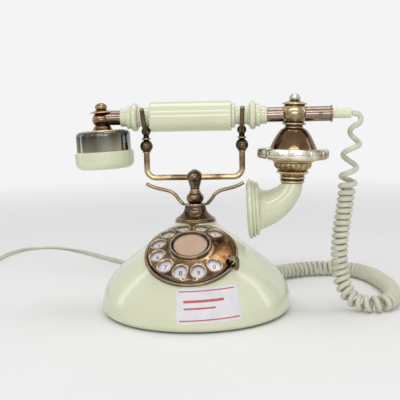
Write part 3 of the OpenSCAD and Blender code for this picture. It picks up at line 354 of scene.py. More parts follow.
def holed_ring(face, back, holes, blanks, turn, circle_r, hole_r, r_in, r_out, lip=0.0):
    """Ring between r_in and r_out with round holes on a circle, cut into equal sectors.

    In a sector with a hole, the point (s, k) lies at (1-s) h + s e, between point h of the hole's
    circle and point e of the sector's edge in the same direction. A blank sector is a plain grid.
    face(r) and back(r) are the heights of the two sides. The lip is a bead round each hole, of
    height lip sin(pi d / 1.5) at a distance d from its edge.
    """
    count, arc_n, side_n, wall_n = holes + blanks, 12, 12, 4
    half = math.pi / count
    phi = np.linspace(-half, half, arc_n + 1)
    rad = np.linspace(r_in, r_out, side_n + 1)
    polar = lambda r, p: np.stack([r * np.cos(p), r * np.sin(p)], -1)
    edge = np.vstack([polar(r_out, phi[:-1]), polar(rad[:0:-1], half), polar(r_in, phi[:0:-1]),
                      polar(rad[:-1], -half)])
    centre = np.array([circle_r, 0.0])
    hole = centre + hole_r * unit(edge - centre)
    s = np.array([0, 0.02, 0.05, 0.09, 0.13, 0.18, 0.26, 0.4, 0.6, 0.8, 1])[:, None, None]
    flat = (1 - s) * hole + s * edge
    away = np.linalg.norm(flat - centre, axis=-1) - hole_r
    bead = lip * np.sin(np.pi * np.clip(away / 1.5, 0, 1))
    r = np.linalg.norm(flat, axis=-1)
    wall_h = np.linspace(1, 0, wall_n)[:, None]
    rim_r = np.linalg.norm(hole, axis=-1)
    wall = np.dstack([np.repeat(hole[None], wall_n, 0),
                      wall_h * face(rim_r) + (1 - wall_h) * back(rim_r)])
    grids = np.dstack([flat, face(r) + bead]), np.dstack([flat, back(r)]), wall
    cell = joined(*[(g.reshape(-1, 3), grid_quads(len(g), len(edge)), no_tris) for g in grids])
    grids = [around(rad[:, None], phi, side(rad[:, None])) for side in (face, back)]
    plain = joined(*[(g.reshape(-1, 3), grid_quads(side_n + 1, arc_n + 1, False, False), no_tris)
                     for g in grids])
    parts = [placed(cell if k < holes else plain, moved((0, 0, 0), "Z", turn + 360 / count * k))
             for k in range(count)]
    angles = np.radians(turn) + np.concatenate([phi[:-1] + 2 * half * k for k in range(count)])
    for r in (r_in, r_out):
        band = np.vstack([around(r, angles, side(r)) for side in (face, back)])
        parts.append((band, grid_quads(2, len(angles)), no_tris))
    return joined(*parts)


# ---------------------------------------------------------------- pieces

def curvature_of(mesh):
    """Point attribute of how a mesh bends: near 1 on its crests, near -1 in its grooves and 0 on
    flat faces. The finishes turn it into painted highlights on crests and painted shade in grooves,
    which also stand for metal worn bright and for tarnish.

    It is 1.1 mm times the mean of dn . dp / |dp|^2 over a point's edges, where n is the normal,
    held between -1 and 1 and then spread to the neighbours three times.
    """
    count = len(mesh.vertices)
    p, n, ends = np.empty(3 * count), np.empty(3 * count), np.empty(2 * len(mesh.edges), np.int32)
    mesh.vertices.foreach_get("co", p)
    mesh.vertices.foreach_get("normal", n)
    mesh.edges.foreach_get("vertices", ends)
    p, n = p.reshape(-1, 3) / MM, n.reshape(-1, 3)
    i, j = ends.reshape(-1, 2).T
    degree = np.maximum(np.bincount(ends, minlength=count), 1)
    gather = lambda at_i, at_j: (np.bincount(i, at_i, count) + np.bincount(j, at_j, count)) / degree
    dp, dn = p[j] - p[i], n[j] - n[i]
    bend = np.sum(dp * dn, -1) / np.maximum(np.sum(dp * dp, -1), 1e-6)
    wear = np.clip(1.1 * gather(bend, bend), -1, 1)
    for _ in range(3):
        wear = 0.5 * (wear + gather(wear[j], wear[i]))
    mesh.attributes.new("wear", "FLOAT", "POINT").data.foreach_set("value", wear.astype(np.float32))


def make_piece(name, surface, finish, body, replaces=(), sharp=38, weld=False):
    """A mesh object of a surface in millimetres, smooth but for edges sharper than an angle."""
    points, quads, tris = surface
    mesh = bpy.data.meshes.new(name)
    mesh.from_pydata((points * MM).tolist(), [], quads.tolist() + tris.tolist())
    if weld:
        work = bmesh.new()
        work.from_mesh(mesh)
        bmesh.ops.remove_doubles(work, verts=work.verts, dist=1e-6)
        bmesh.ops.recalc_face_normals(work, faces=work.faces)
        work.to_mesh(mesh)
        work.free()
    mesh.update()
    curvature_of(mesh)
    mesh.shade_smooth()
    mesh.set_sharp_from_angle(angle=math.radians(sharp))
    mesh.materials.append(finish)
    piece = bpy.data.objects.new(name, mesh)
    bpy.context.scene.collection.objects.link(piece)
    if replaces:
        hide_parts(*replaces)
    if body:
        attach(piece, body)
    return piece


def dress(finish, *nodes):
    """Gives the frame's own nodes a finish."""
    for name in nodes:
        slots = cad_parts[name].material_slots
        if not slots:
            raise RuntimeError(f"{name} has no material slot")
        for slot in slots:
            slot.material = finish


# ---------------------------------------------------------------- finishes

def noise(tree, place, scale, detail, roughness=0.5):
    """Output of a Noise Texture node."""
    pattern = tree.nodes.new("ShaderNodeTexNoise")
    for socket, value in (("Scale", scale), ("Detail", detail), ("Roughness", roughness)):
        pattern.inputs[socket].default_value = value
    tree.links.new(place, pattern.inputs["Vector"])
    return pattern.outputs["Fac"]


def ramped(tree, source, places, shades):
    """Output of a Color Ramp node: from one shade to another between two places of source."""
    ramp = tree.nodes.new("ShaderNodeValToRGB")
    for stop, place, shade in zip(ramp.color_ramp.elements, places, shades):
        stop.position, stop.color = place, (*shade, 1)
    tree.links.new(source, ramp.inputs["Fac"])
    return ramp.outputs["Color"]


def spanned(tree, source, *ends, smooth=False):
    """Output of a Map Range node that carries source from the first two ends to the last two."""
    span = tree.nodes.new("ShaderNodeMapRange")
    span.interpolation_type = "SMOOTHSTEP" if smooth else "LINEAR"
    for socket, value in zip(("From Min", "From Max", "To Min", "To Max"), ends):
        span.inputs[socket].default_value = value
    tree.links.new(source, span.inputs["Value"])
    return span.outputs["Result"]


def reckoned(tree, operation, first, second):
    """Output of a Math node, held between 0 and 1."""
    both = tree.nodes.new("ShaderNodeMath")
    both.operation, both.use_clamp = operation, True
    tree.links.new(first, both.inputs[0])
    tree.links.new(second, both.inputs[1])
    return both.outputs[0]


def mixed(tree, kind, factor, first, second):
    """Output of a Mix node for colours; each of its three inputs is a value or another output."""
    mix = tree.nodes.new("ShaderNodeMix")
    mix.data_type, mix.blend_type = "RGBA", kind
    for value, socket in ((factor, "Factor"), (first, "A"), (second, "B")):
        if isinstance(value, bpy.types.NodeSocket):
            tree.links.new(value, mix.inputs[socket])
        else:
            mix.inputs[socket].default_value = value
    return mix.outputs["Result"]


def make_finish(name, dark, light, cloud=60.0, rough=(0.2, 0.35), metallic=0.0, coat=0.0,
                bump=0.0, grain=900.0, stretch=(1, 1, 1), specks=0.0, balance=(0.3, 0.7),
                alpha=1.0, sheen=0.0, crest=None, blush=None):
    """Finish whose colour runs from dark to light with a soft cloud pattern. A finer grain sets the
    roughness between two values and gives the bump, and its lowest values the dark specks. With a
    crest colour, a piece is painted to that colour on its crests, a painted highlight that also
    stands for metal worn bright, and much darker in its grooves, painted shade that also stands for
    tarnish. A blush (x0, x1, tint) multiplies the colour by its tint, from not at all at x0 to in
    full at x1."""
    finish = bpy.data.materials.get(name)
    if finish:
        return finish
    finish = bpy.data.materials.new(name)
    finish.use_nodes = True
    tree = finish.node_tree
    nodes, links = tree.nodes, tree.links
    shader = nodes["Principled BSDF"]
    where, stretched = nodes.new("ShaderNodeTexCoord"), nodes.new("ShaderNodeMapping")
    stretched.inputs["Scale"].default_value = stretch
    links.new(where.outputs["Object"], stretched.inputs["Vector"])
    clouds = noise(tree, stretched.outputs["Vector"], cloud, 5, 0.6)
    fine = noise(tree, stretched.outputs["Vector"], grain, 3)
    colour = ramped(tree, clouds, balance, (dark, light))
    if blush:
        place = nodes.new("ShaderNodeSeparateXYZ")
        links.new(where.outputs["Object"], place.inputs["Vector"])
        share = spanned(tree, place.outputs["X"], *blush[:2], 0.0, 1.0, smooth=True)
        colour = mixed(tree, "MULTIPLY", share, colour, (*blush[2], 1))
    # Painted highlight on crests and painted shade in grooves, read from the mesh's bend; they also
    # stand for metal worn bright and for tarnish.
    if crest:
        reading = nodes.new("ShaderNodeAttribute")
        reading.attribute_name = "wear"
        highlight_and_rubbing = spanned(tree, reading.outputs["Fac"], 0.2, 0.85, 0.0, 0.75)
        shade_and_tarnish = spanned(tree, reading.outputs["Fac"], -0.4, -0.03, 0.88, 0.0)
        colour = mixed(tree, "MIX", highlight_and_rubbing, colour, (*crest, 1))
        colour = mixed(tree, "MIX", shade_and_tarnish, colour, (*[0.16 * k for k in dark], 1))
    if specks:
        low = 1 - specks
        spots = ramped(tree, fine, (0.27, 0.34), ((low, low * 0.96, low * 0.88), (1, 1, 1)))
        colour = mixed(tree, "MULTIPLY", 1.0, colour, spots)
    links.new(colour, shader.inputs["Base Color"])
    links.new(spanned(tree, fine, 0.3, 0.7, *rough), shader.inputs["Roughness"])
    if bump:
        relief = nodes.new("ShaderNodeBump")
        relief.inputs["Strength"].default_value = 1
        relief.inputs["Distance"].default_value = bump * MM
        links.new(fine, relief.inputs["Height"])
        links.new(relief.outputs["Normal"], shader.inputs["Normal"])
    for socket, value in (("Metallic", metallic), ("Coat Weight", coat), ("Coat Roughness", 0.06),
                          ("Alpha", alpha), ("Sheen Weight", sheen)):
        shader.inputs[socket].default_value = value
    return finish


def tones(name):
    """Darker and lighter tone of one of the finishes whose colours a user can change."""
    colours = bpy.context.scene.telephone_colours
    return getattr(colours, f"{name}_shade"), getattr(colours, name)


def ivory_plastic():
    return make_finish("ivory_plastic", *tones("ivory"), 14, (0.16, 0.24), coat=0.5, bump=0.002,
                       grain=260, specks=0.012, balance=(0.25, 0.75))


# The crest colours in these finishes are painted highlights on crests, partly metal worn bright;
# the same finishes paint shade in their grooves, partly tarnish.
def tarnished_brass():
    return make_finish("tarnished_brass", *tones("brass"), 62, (0.08, 0.2), 1, bump=0.002,
                       grain=1300, specks=0.3, balance=(0.36, 0.66), crest=srgb(206, 186, 152))


def wheel_brass():
    """Tarnished brass with an amber blush on the blank side of the wheel."""
    return make_finish("wheel_brass", *tones("brass"), 48, (0.08, 0.2), 1, bump=0.002,
                       grain=1300, specks=0.3, balance=(0.38, 0.64), crest=srgb(206, 186, 152),
                       blush=(0.01, 0.028, (1.38, 1.0, 0.6)))


def worn_gold():
    return make_finish("worn_gold", *tones("gold"), 70, (0.07, 0.18), 1, bump=0.002,
                       grain=1200, specks=0.2, balance=(0.36, 0.66), crest=srgb(228, 208, 162))


def dark_bronze():
    return make_finish("dark_bronze", srgb(52, 43, 37), srgb(116, 96, 76), 90, (0.08, 0.2), 1,
                       bump=0.002, grain=1300, specks=0.2, crest=srgb(190, 164, 126))


def smooth_brass():
    return make_finish("smooth_brass", srgb(82, 64, 46), srgb(122, 99, 72), 36, (0.07, 0.12), 1,
                       crest=srgb(206, 178, 138))


def red_brass():
    return make_finish("red_brass", srgb(108, 90, 80), srgb(164, 148, 136), 30, (0.1, 0.2), 1)


def bright_nickel():
    return make_finish("bright_nickel", srgb(150, 148, 142), srgb(216, 215, 210), 90,
                       (0.05, 0.12), 1, crest=srgb(236, 234, 228))


def pale_plating():
    return make_finish("pale_plating", srgb(146, 132, 98), srgb(232, 228, 210), 26, (0.06, 0.12), 1,
                       balance=(0.42, 0.56), crest=srgb(226, 220, 198))


def streaked_plating():
    """Grey gold, clouded in upright streaks of brown and blue grey that are painted reflections."""
    return make_finish("streaked_plating", srgb(86, 74, 60), srgb(108, 118, 122), 46,
                       (0.06, 0.13), 1, bump=0.002, grain=1000, stretch=(1, 1, 0.12), specks=0.12,
                       balance=(0.42, 0.58), crest=srgb(212, 202, 172))


def copper_tone():
    return make_finish("copper_tone", srgb(92, 68, 52), srgb(160, 128, 100), 75, (0.08, 0.2), 1,
                       bump=0.002, grain=1200, specks=0.2, balance=(0.36, 0.66),
                       crest=srgb(222, 194, 158))


# Near black; the black rings in the bezel's gap and at the card's edge use it as painted shade.
def black_groove():
    return make_finish("black_groove", srgb(16, 15, 14), srgb(30, 28, 26), 60, (0.4, 0.6))


def black_rubber():
    return make_finish("black_rubber", srgb(24, 23, 22), srgb(38, 37, 35), 90, (0.55, 0.75),
                       bump=0.02, grain=1500)


def felt():
    return make_finish("grey_felt", srgb(44, 42, 40), srgb(66, 63, 60), 300, (0.85, 0.95),
                       bump=0.15, grain=2200, sheen=0.3)


def zinc_steel():
    return make_finish("zinc_steel", srgb(140, 140, 136), srgb(186, 186, 180), 70, (0.25, 0.42), 1,
                       bump=0.006, grain=900, specks=0.12)


def card_paper():
    return make_finish("card_paper", srgb(180, 142, 112), srgb(196, 158, 128), 90, (0.5, 0.65))


def plate_enamel():
    return make_finish("plate_enamel", srgb(218, 216, 228), srgb(235, 233, 243), 60, (0.15, 0.25),
                       coat=0.3, bump=0.003, grain=500)


def black_ink():
    return make_finish("black_ink", srgb(26, 24, 30), srgb(44, 40, 46), 400, (0.35, 0.5))


def red_ink():
    return make_finish("red_ink", srgb(176, 70, 66), srgb(200, 104, 98), 500, (0.5, 0.65))


def label_paper():
    return make_finish("label_paper", srgb(214, 211, 215), srgb(228, 225, 229), 90, (0.4, 0.55),
                       bump=0.006, grain=1400)


def cord_plastic():
    return make_finish("cord_plastic", *tones("cord"), 60, (0.28, 0.42), bump=0.01,
                       grain=700, specks=0.06)


def window_plastic():
    return make_finish("window_plastic", srgb(236, 234, 228), srgb(246, 244, 240), 40, (0.04, 0.08),
                       alpha=0.05)


def clear_plastic():
    return make_finish("clear_plastic", srgb(226, 226, 220), srgb(242, 242, 238), 40, (0.04, 0.08),
                       alpha=0.14)


def board_green():
    return make_finish("board_green", srgb(44, 70, 44), srgb(66, 96, 60), 120, (0.35, 0.5))


def coil_tape():
    return make_finish("coil_tape", srgb(110, 50, 30), srgb(140, 72, 44), 200, (0.4, 0.55))


# ---------------------------------------------------------------- what a user would change

def length_property(label, about_it, default):
    return bpy.props.FloatProperty(name=label, description=about_it, default=default * MM, min=0.0,
                                   precision=4, unit="LENGTH")


def colour_property(label, about_it, shade):
    return bpy.props.FloatVectorProperty(name=label, description=about_it, default=srgb(*shade),
                                         size=3, min=0.0, max=1.0, subtype="COLOR")


class TelephoneSizes(bpy.types.PropertyGroup):
    """Sizes of the details that the frame doesn't fix."""
    digit_height: length_property("Digit height", "Height of the dial's numbers", 4.6)
    wheel_lip: length_property("Finger hole lip", "Height of the bead round each finger hole", 0.55)
    curly_wire: length_property("Curly wire", "Diameter of the handset cord's wire", 5.0)
    curly_coil: length_property("Curl diameter", "Outer diameter of the handset cord's curls", 16.2)
    line_width: length_property("Line cord width", "Width of the flat line cord", 5.2)
    line_thickness: length_property("Line cord thickness", "Thickness of the flat line cord", 2.6)
    label_width: length_property("Label width", "Width of the blank paper label", 55.0)
    label_height: length_property("Label height", "Height of the blank paper label", 29.0)


class TelephoneColours(bpy.types.PropertyGroup):
    """Colours of the main finishes, lighter and darker tone of each."""
    ivory: colour_property("Ivory", "Lighter tone of the ivory plastic", (219, 222, 193))
    ivory_shade: colour_property("Ivory shade", "Darker tone of the ivory plastic", (210, 212, 181))
    brass: colour_property("Brass", "Lighter tone of the tarnished brass", (156, 132, 106))
    brass_shade: colour_property("Brass shade", "Darker tone of the tarnished brass", (72, 60, 49))
    gold: colour_property("Gold", "Lighter tone of the worn gold plating", (202, 180, 142))
    gold_shade: colour_property("Gold shade", "Darker tone of the worn gold plating", (116, 94, 66))
    cord: colour_property("Cord", "Lighter tone of the cords", (210, 209, 190))
    cord_shade: colour_property("Cord shade", "Darker tone of the cords", (196, 193, 172))


class TelephoneStage(bpy.types.PropertyGroup):
    """Camera and lamps."""
    focal: bpy.props.FloatProperty(
        name="Lens", description="Focal length in millimetres on a 36 mm frame",
        default=68.4, min=10.0)
    key_power: bpy.props.FloatProperty(
        name="Lamps", description="Power in watts of a lamp whose share is 1",
        default=9.0, min=0.0)
    sky: bpy.props.FloatProperty(
        name="Soft light", description="Strength of the light from all sides",
        default=0.46, min=0.0)


# ---------------------------------------------------------------- stage and cords

surroundings = (0.9, 0.905, 0.91)
floor_reach, floor_drop = 4.0, 0.0003            # metres
camera_place = (57.8, -705.0, 186.5)
camera_angles = (-4.27, 6.69, -1.2)              # degrees: turned, tilted down and rolled
lamp_target = (0.02, 0.0, 0.1)                   # metres, as are the places and sizes below
lamps = (("front_strip", (0.0, -1.25, 1.25), (1.7, 0.24), 0.8),
         ("front_window", (0.12, -1.7, 0.36), (1.3, 0.24), 0.62),
         ("left_window", (-0.95, -1.0, 1.0), (0.2, 0.2), 0.12),
         ("left_strip", (-1.35, 0.2, 0.5), (0.24, 1.0), 0.15),
         ("right_strip", (1.4, 0.16, 0.5), (0.2, 1.0), 0.15),
         ("top_lamp", (0.1, 0.2, 1.6), (1.1, 0.7), 0.75))


def world_light(strength):
    """Even pale light; rays from the camera and mirror images see it at full strength."""
    world = bpy.data.worlds.new("studio")
    world.use_nodes = True
    tree = world.node_tree
    rays, background = tree.nodes.new("ShaderNodeLightPath"), tree.nodes["Background"]
    seen = rays.outputs["Is Camera Ray"]
    for other in ("Is Glossy Ray", "Is Transmission Ray"):
        seen = reckoned(tree, "ADD", seen, rays.outputs[other])
    tree.links.new(spanned(tree, seen, 0.0, 1.0, strength, 1.0), background.inputs["Strength"])
    background.inputs["Color"].default_value = (*surroundings, 1)
    return world


def stood(thing, right, up, back, place):
    """Links a lamp or camera to the scene, with its three axes and its place in metres."""
    m = np.eye(4)
    m[:3, 0], m[:3, 1], m[:3, 2], m[:3, 3] = right, up, back, place
    bpy.context.scene.collection.objects.link(thing)
    thing.matrix_world = Matrix(m)


def lamp(name, place, size, power):
    """A soft oblong lamp that looks at the lamps' target."""
    data = bpy.data.lights.new(name, "AREA")
    data.shape, data.size, data.size_y, data.energy = "RECTANGLE", *size, power
    back = unit(np.array(place) - np.array(lamp_target))
    right = unit(np.cross([0, 0, 1], back))
    stood(bpy.data.objects.new(name, data), right, np.cross(back, right), back, place)


def pale_floor():
    """Pale floor; the camera sees it turn into the colour of the surroundings far out."""
    finish = make_finish("pale_floor", srgb(243, 243, 242), srgb(247, 247, 246), 3, (0.6, 0.7))
    tree = finish.node_tree
    nodes, links = tree.nodes, tree.links
    where, rays = nodes.new("ShaderNodeTexCoord"), nodes.new("ShaderNodeLightPath")
    away = nodes.new("ShaderNodeVectorMath")
    away.operation = "LENGTH"
    links.new(where.outputs["Object"], away.inputs[0])
    far = spanned(tree, away.outputs["Value"], 0.4, 1.5, 0.0, 1.0, smooth=True)
    glow, mix = nodes.new("ShaderNodeEmission"), nodes.new("ShaderNodeMixShader")
    glow.inputs["Color"].default_value = (*surroundings, 1)
    links.new(reckoned(tree, "MULTIPLY", far, rays.outputs["Is Camera Ray"]), mix.inputs["Fac"])
    links.new(nodes["Principled BSDF"].outputs["BSDF"], mix.inputs[1])
    links.new(glow.outputs["Emission"], mix.inputs[2])
    links.new(mix.outputs["Shader"], nodes["Material Output"].inputs["Surface"])
    return finish


class TELEPHONE_OT_set_stage(bpy.types.Operator):
    """Places the camera, the floor, the lamps and the pale surroundings"""
    bl_idname = "telephone.set_stage"
    bl_label = "Set the Stage"

    def execute(self, context):
        scene, stage = context.scene, context.scene.telephone_stage
        scene.view_settings.view_transform = "Standard"
        scene.world = world_light(stage.sky)
        mesh = bpy.data.meshes.new("floor")
        corners = ((-1, -1), (1, -1), (1, 1), (-1, 1))
        mesh.from_pydata([(x * floor_reach, y * floor_reach, -floor_drop) for x, y in corners], [],
                         [(0, 1, 2, 3)])
        mesh.materials.append(pale_floor())
        floor = bpy.data.objects.new("floor", mesh)
        scene.collection.objects.link(floor)
        for name, place, size, share in lamps:
            lamp(name, place, size, share * stage.key_power)
        self.place_camera(scene, stage.focal)
        return {"FINISHED"}

    def place_camera(self, scene, focal):
        """The camera looks along +Y at first; it is turned, tilted down and then rolled."""
        yaw, pitch, roll = (math.radians(k) for k in camera_angles)
        look = np.array([math.sin(yaw) * math.cos(pitch), math.cos(yaw) * math.cos(pitch),
                         -math.sin(pitch)])
        level = unit(np.cross(look, [0, 0, 1]))
        up = np.cross(level, look)
        c, s = math.cos(roll), math.sin(roll)
        data = bpy.data.cameras.new("camera")
        data.lens, data.sensor_width, data.clip_end = focal, 36.0, 50.0
        camera = bpy.data.objects.new("camera", data)
        stood(camera, level * c + up * s, up * c - level * s, -look, np.array(camera_place) * MM)
        scene.camera = camera


exit_way, line_way = level_way(handset_exit), level_way(line_exit)
cord_foot, line_foot = ((base_r + exit_l) * way + [0, 0, exit_z] for way in (exit_way, line_way))
sleeve_gap, curly_lead, curls = 0.9, 5.5, 74
coil_centre, coil_out_r, coil_turns = np.array([-309.8, 218.3, 0.0]), 36.0, 4
turn_gap, layer_gap, coil_dip, run_out = 0.6, 1.2, 1.8, 24


def curly_path(coil_mid_r, rings):
    """Middle line of the curled wire: the route at length s, plus R (n cos a + t x n sin a).

    a is 360 degrees a curl. The curls advance with w (ds - R dq), where dq is the route's turn, so
    that they lie evenly on the inner side of each bend; w is small where the cord is pulled open
    under the handset and at its foot. R grows from nothing at both ends. The route hangs from the
    sleeve and then lies on the floor, at the height of its foot.
    """
    floor = [(160, -17), (170.5, -15.5), (179.5, -6), (185.5, 10), (188.5, 32), (188.5, 56),
             (185.5, 80), (180, 104), (170, 125), (155, 138.5), (137, 143.5), (118, 141.5),
             (100, 134), (84, 122.5), (71, 108.5)]
    route = spline(
        [(sleeve_x1 + sleeve_gap, col_y, handset_z), (sleeve_x1 + 5, col_y, handset_z),
         (154, 8, 177), (150, 6, 166), (146, 4, 152), (144, 3, 137), (142.5, 2, 121),
         (140.5, 1, 106), (138.5, 0, 91), (136, -1, 76), (134.5, -2, 62), (134, -2, 48),
         (135, -2, 36), (137, -4, 25), (142, -8, 15), (150, -13, 9.5),
         *[(x, y, exit_z) for x, y in floor], tuple(cord_foot + 6 * exit_way),
         tuple(cord_foot)], 12)
    length = running(route)
    total = length[-1]
    fine = np.linspace(curly_lead, total - curly_lead, 1600)
    t = headings(at_lengths(route, fine))
    turn = np.arccos(np.clip(np.sum(t[1:] * t[:-1], -1), -1, 1))
    step = np.diff(fine)
    inner = np.maximum(step - coil_mid_r * turn, 0.4 * step)
    weight = np.interp(fine[1:], [0, 60, 84, total - 20, total - curly_lead],
                       [0.24, 0.26, 1, 1, 0.4])
    count = np.concatenate([[0], np.cumsum(weight * inner)])
    count *= curls / count[-1]
    n = np.arange(curls * rings + 1) / rings
    s = np.concatenate([[0], np.interp(n, count, fine), [total]])
    n = np.concatenate([[0], n, [curls]])
    middle = at_lengths(route, s)
    side, other = least_twist(headings(middle), (0, 0, 1))
    end = np.minimum(n, curls - n)
    wide = np.interp(n, [0, 3, 4.5, 5], [1.18, 1.18, 1.0, 1.0])
    out = coil_mid_r * np.minimum(1, end / 0.75) * wide
    a = 2 * np.pi * n
    return middle + out[:, None] * (side * np.cos(a)[:, None] + other * np.sin(a)[:, None])


class TELEPHONE_OT_make_curly_cord(bpy.types.Operator):
    """Winds the curly cord between the handset's sleeve and the base"""
    bl_idname = "telephone.make_curly_cord"
    bl_label = "Curly Cord"

    def execute(self, context):
        sizes = context.scene.telephone_sizes
        wire_r = sizes.curly_wire / MM / 2
        coil_mid_r = (sizes.curly_coil - sizes.curly_wire) / MM / 2
        path = curly_path(coil_mid_r, 24)
        t = headings(path)
        t[0], t[-1] = (1, 0, 0), -exit_way
        u, v = least_twist(t, (0, 0, 1))
        cord = make_piece("curly_cord", tube(path, u, v, wire_r, wire_r, 12), cord_plastic(), None,
                          ["handset_cord"])
        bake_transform(cord)
        return {"FINISHED"}


def line_path(width, thick):
    """Middle line of the flat cord and its roll in degrees: first the route, then the coil.

    The coil's radius falls by thick + turn_gap a turn in the lower layer, dips as it climbs in the
    next half turn, grows again in the upper layer and runs out to the plug.
    """
    pitch, rise = thick + turn_gap, width + layer_gap
    in_r = coil_out_r - coil_turns * pitch
    up_pitch = (coil_out_r + pitch - in_r) / coil_turns
    climb = coil_turns + 0.5
    wound = climb + coil_turns
    n = np.arange(round((wound + 0.25) * 24) + 1) / 24
    radius = np.select([n < coil_turns, n < climb, n < wound],
                       [coil_out_r - pitch * n,
                        in_r - coil_dip * np.sin(2 * np.pi * (n - coil_turns)),
                        in_r + up_pitch * (n - climb)], coil_out_r + pitch + run_out * (n - wound))
    edge_z, flat_z = width / 2, thick / 2
    height = edge_z + rise * (ease((n - coil_turns) / 0.5) - ease((n - wound) / 0.23))
    coil = coil_centre + around(radius, -2 * np.pi * n, height)
    coil = np.column_stack([coil, np.full(len(coil), 90.0)])
    first = coil[0, :3]
    route = spline([(*line_foot, 90), (*(line_foot + 5 * line_way), 90), (-47, 104, 5.6, 90),
                    (-53, 122, edge_z + 0.9, 90), (-66, 150, edge_z + 0.1, 90),
                    (-86, 182, edge_z + 0.02, 90), (-108, 210, edge_z + 0.02, 90),
                    (-132, 236, edge_z + 0.02, 90), (-156, 263, edge_z + 0.02, 80),
                    (-181, 291, flat_z + 1.1, 45), (-206, 314, flat_z + 0.35, 10),
                    (-228, 323, flat_z + 0.15, 0), (-246, 320, flat_z + 0.25, 0),
                    (-259, 307, flat_z + 1.1, 40), (-267, 288, edge_z, 80),
                    (-271.5, 266, edge_z, 90), (-273.5, 244, edge_z, 90),
                    (*(first + [0, 8, 0]), 90), (*first, 90)], 10)
    return np.vstack([route[:-1], coil])


class TELEPHONE_OT_make_line_cord(bpy.types.Operator):
    """Lays the flat line cord along the floor and winds its spare length"""
    bl_idname = "telephone.make_line_cord"
    bl_label = "Line Cord"

    def execute(self, context):
        sizes = context.scene.telephone_sizes
        width, thick = sizes.line_width / MM, sizes.line_thickness / MM
        path = line_path(width, thick)
        t = headings(path)
        t[0] = line_way
        flat = unit(np.cross([0, 0, 1], t))
        up = np.cross(t, flat)
        roll = np.radians(path[:, 3:])
        u = flat * np.cos(roll) + up * np.sin(roll)
        surface = tube(path, u, np.cross(t, u), width / 2, thick / 2, 16, 3.0)
        cord = make_piece("flat_line_cord", surface, cord_plastic(), "base",
                          ["line_cord", "line_cord_coil"], 50)
        return {"FINISHED"}


# ---------------------------------------------------------------- housing

inner_point = np.array([0.0, -5.0, 25.0])
label_angle, label_z, label_turn = -78.5, 25.0, 2.0
edge_r = 2.5                               # rounding of the housing's edges
foot_in, flank_in, flank_rise = 5, 24, 34  # how far its foot and its flank run in and up
dial_normal = about("X", dial_tilt) @ np.array([0, 0, 1.0])
ring_profile = row(
    oval((base_r - foot_in, bulge_z), foot_in - edge_r, bulge_z - pad_t - edge_r, -75, 0, 4),
    oval((base_r - flank_in, bulge_z), flank_in - edge_r, flank_rise - edge_r, 8, 64, 10))


def support(n):
    """How far the housing reaches in direction n.

    It is the most of n . p over its bulge, its dial seat and its neck disc, plus the rounding.
    A ring (r, z) gives r |n_xy| + z n_z, and a disc of radius R at c with axis m gives
    c . n + R |n x m|.
    """
    level = np.linalg.norm(n[..., :2], axis=-1)
    bulge = np.max(level[..., None] * ring_profile[:, 0] + n[..., 2:] * ring_profile[:, 1], -1)
    seat = on_dial(np.array([0, 0, seat_z - edge_r])) @ n[..., None]
    seat = seat[..., 0] + (seat_r - edge_r) * np.linalg.norm(np.cross(n, dial_normal), axis=-1)
    neck = n[..., 1] * col_y + n[..., 2] * (neck_low - edge_r) + (neck_foot_r - edge_r) * level
    return np.maximum(np.maximum(bulge, seat), neck) + edge_r


def skin_reach(way):
    """Distance from the inner point to the housing's skin along the directions way.

    It is the least of (support(n) - n . inner) / (n . way) over all normals n, found on a net of
    5 x 5 tilts round the best normal so far that shrinks to 0.55 of its size each time.
    """
    best = np.array(way)
    across = square_to(np.array([0.3, 0.5, 0.8]), way)
    other = np.cross(way, across)
    ticks = np.linspace(-1, 1, 5)
    du, dv = (k.reshape(-1, 1) for k in np.meshgrid(ticks, ticks))
    net = du * across[..., None, :], dv * other[..., None, :]
    size = 0.8
    for _ in range(13):
        tries = unit(best[..., None, :] + size * (net[0] + net[1]))
        along = np.sum(tries * way[..., None, :], -1)
        reach = (support(tries) - tries @ inner_point) / np.maximum(along, 0.05)
        pick = np.argmin(reach, -1)[..., None]
        best = np.take_along_axis(tries, pick[..., None], -2)[..., 0, :]
        size *= 0.55
    return np.take_along_axis(reach, pick, -1)[..., 0]


def softened(reach):
    """Reach averaged 170 times, by (1, 2, 1) / 4, with its neighbours round a ring and down."""
    for _ in range(170):
        reach = (np.roll(reach, 1, 1) + 2 * reach + np.roll(reach, -1, 1)) / 4
        reach[1:-1] = (reach[:-2] + 2 * reach[1:-1] + reach[2:]) / 4
    return reach


def free_skin(at):
    """Share from 0 to 1 that is 1 away from the dial, the column, the label and the low rim.

    It rises over 12 mm beside the bezel, 24 mm round the neck, 20 degrees past 20 degrees beside
    the label's middle, and 24 mm above 10 mm from the floor.
    """
    beside_dial = np.linalg.norm(np.cross(at - [0, -dial_fwd, dial_z], dial_normal), axis=-1)
    from_column = np.hypot(at[..., 0], at[..., 1] - col_y)
    turn = np.degrees(np.arctan2(at[..., 1], at[..., 0])) - label_angle
    from_label = np.abs((turn + 180) % 360 - 180)
    return (ease((beside_dial - bezel_r + 1) / 12) * ease((from_column - neck_foot_r) / 24)
            * ease((from_label - 20) / 20) * ease((at[..., 2] - 10) / 24))


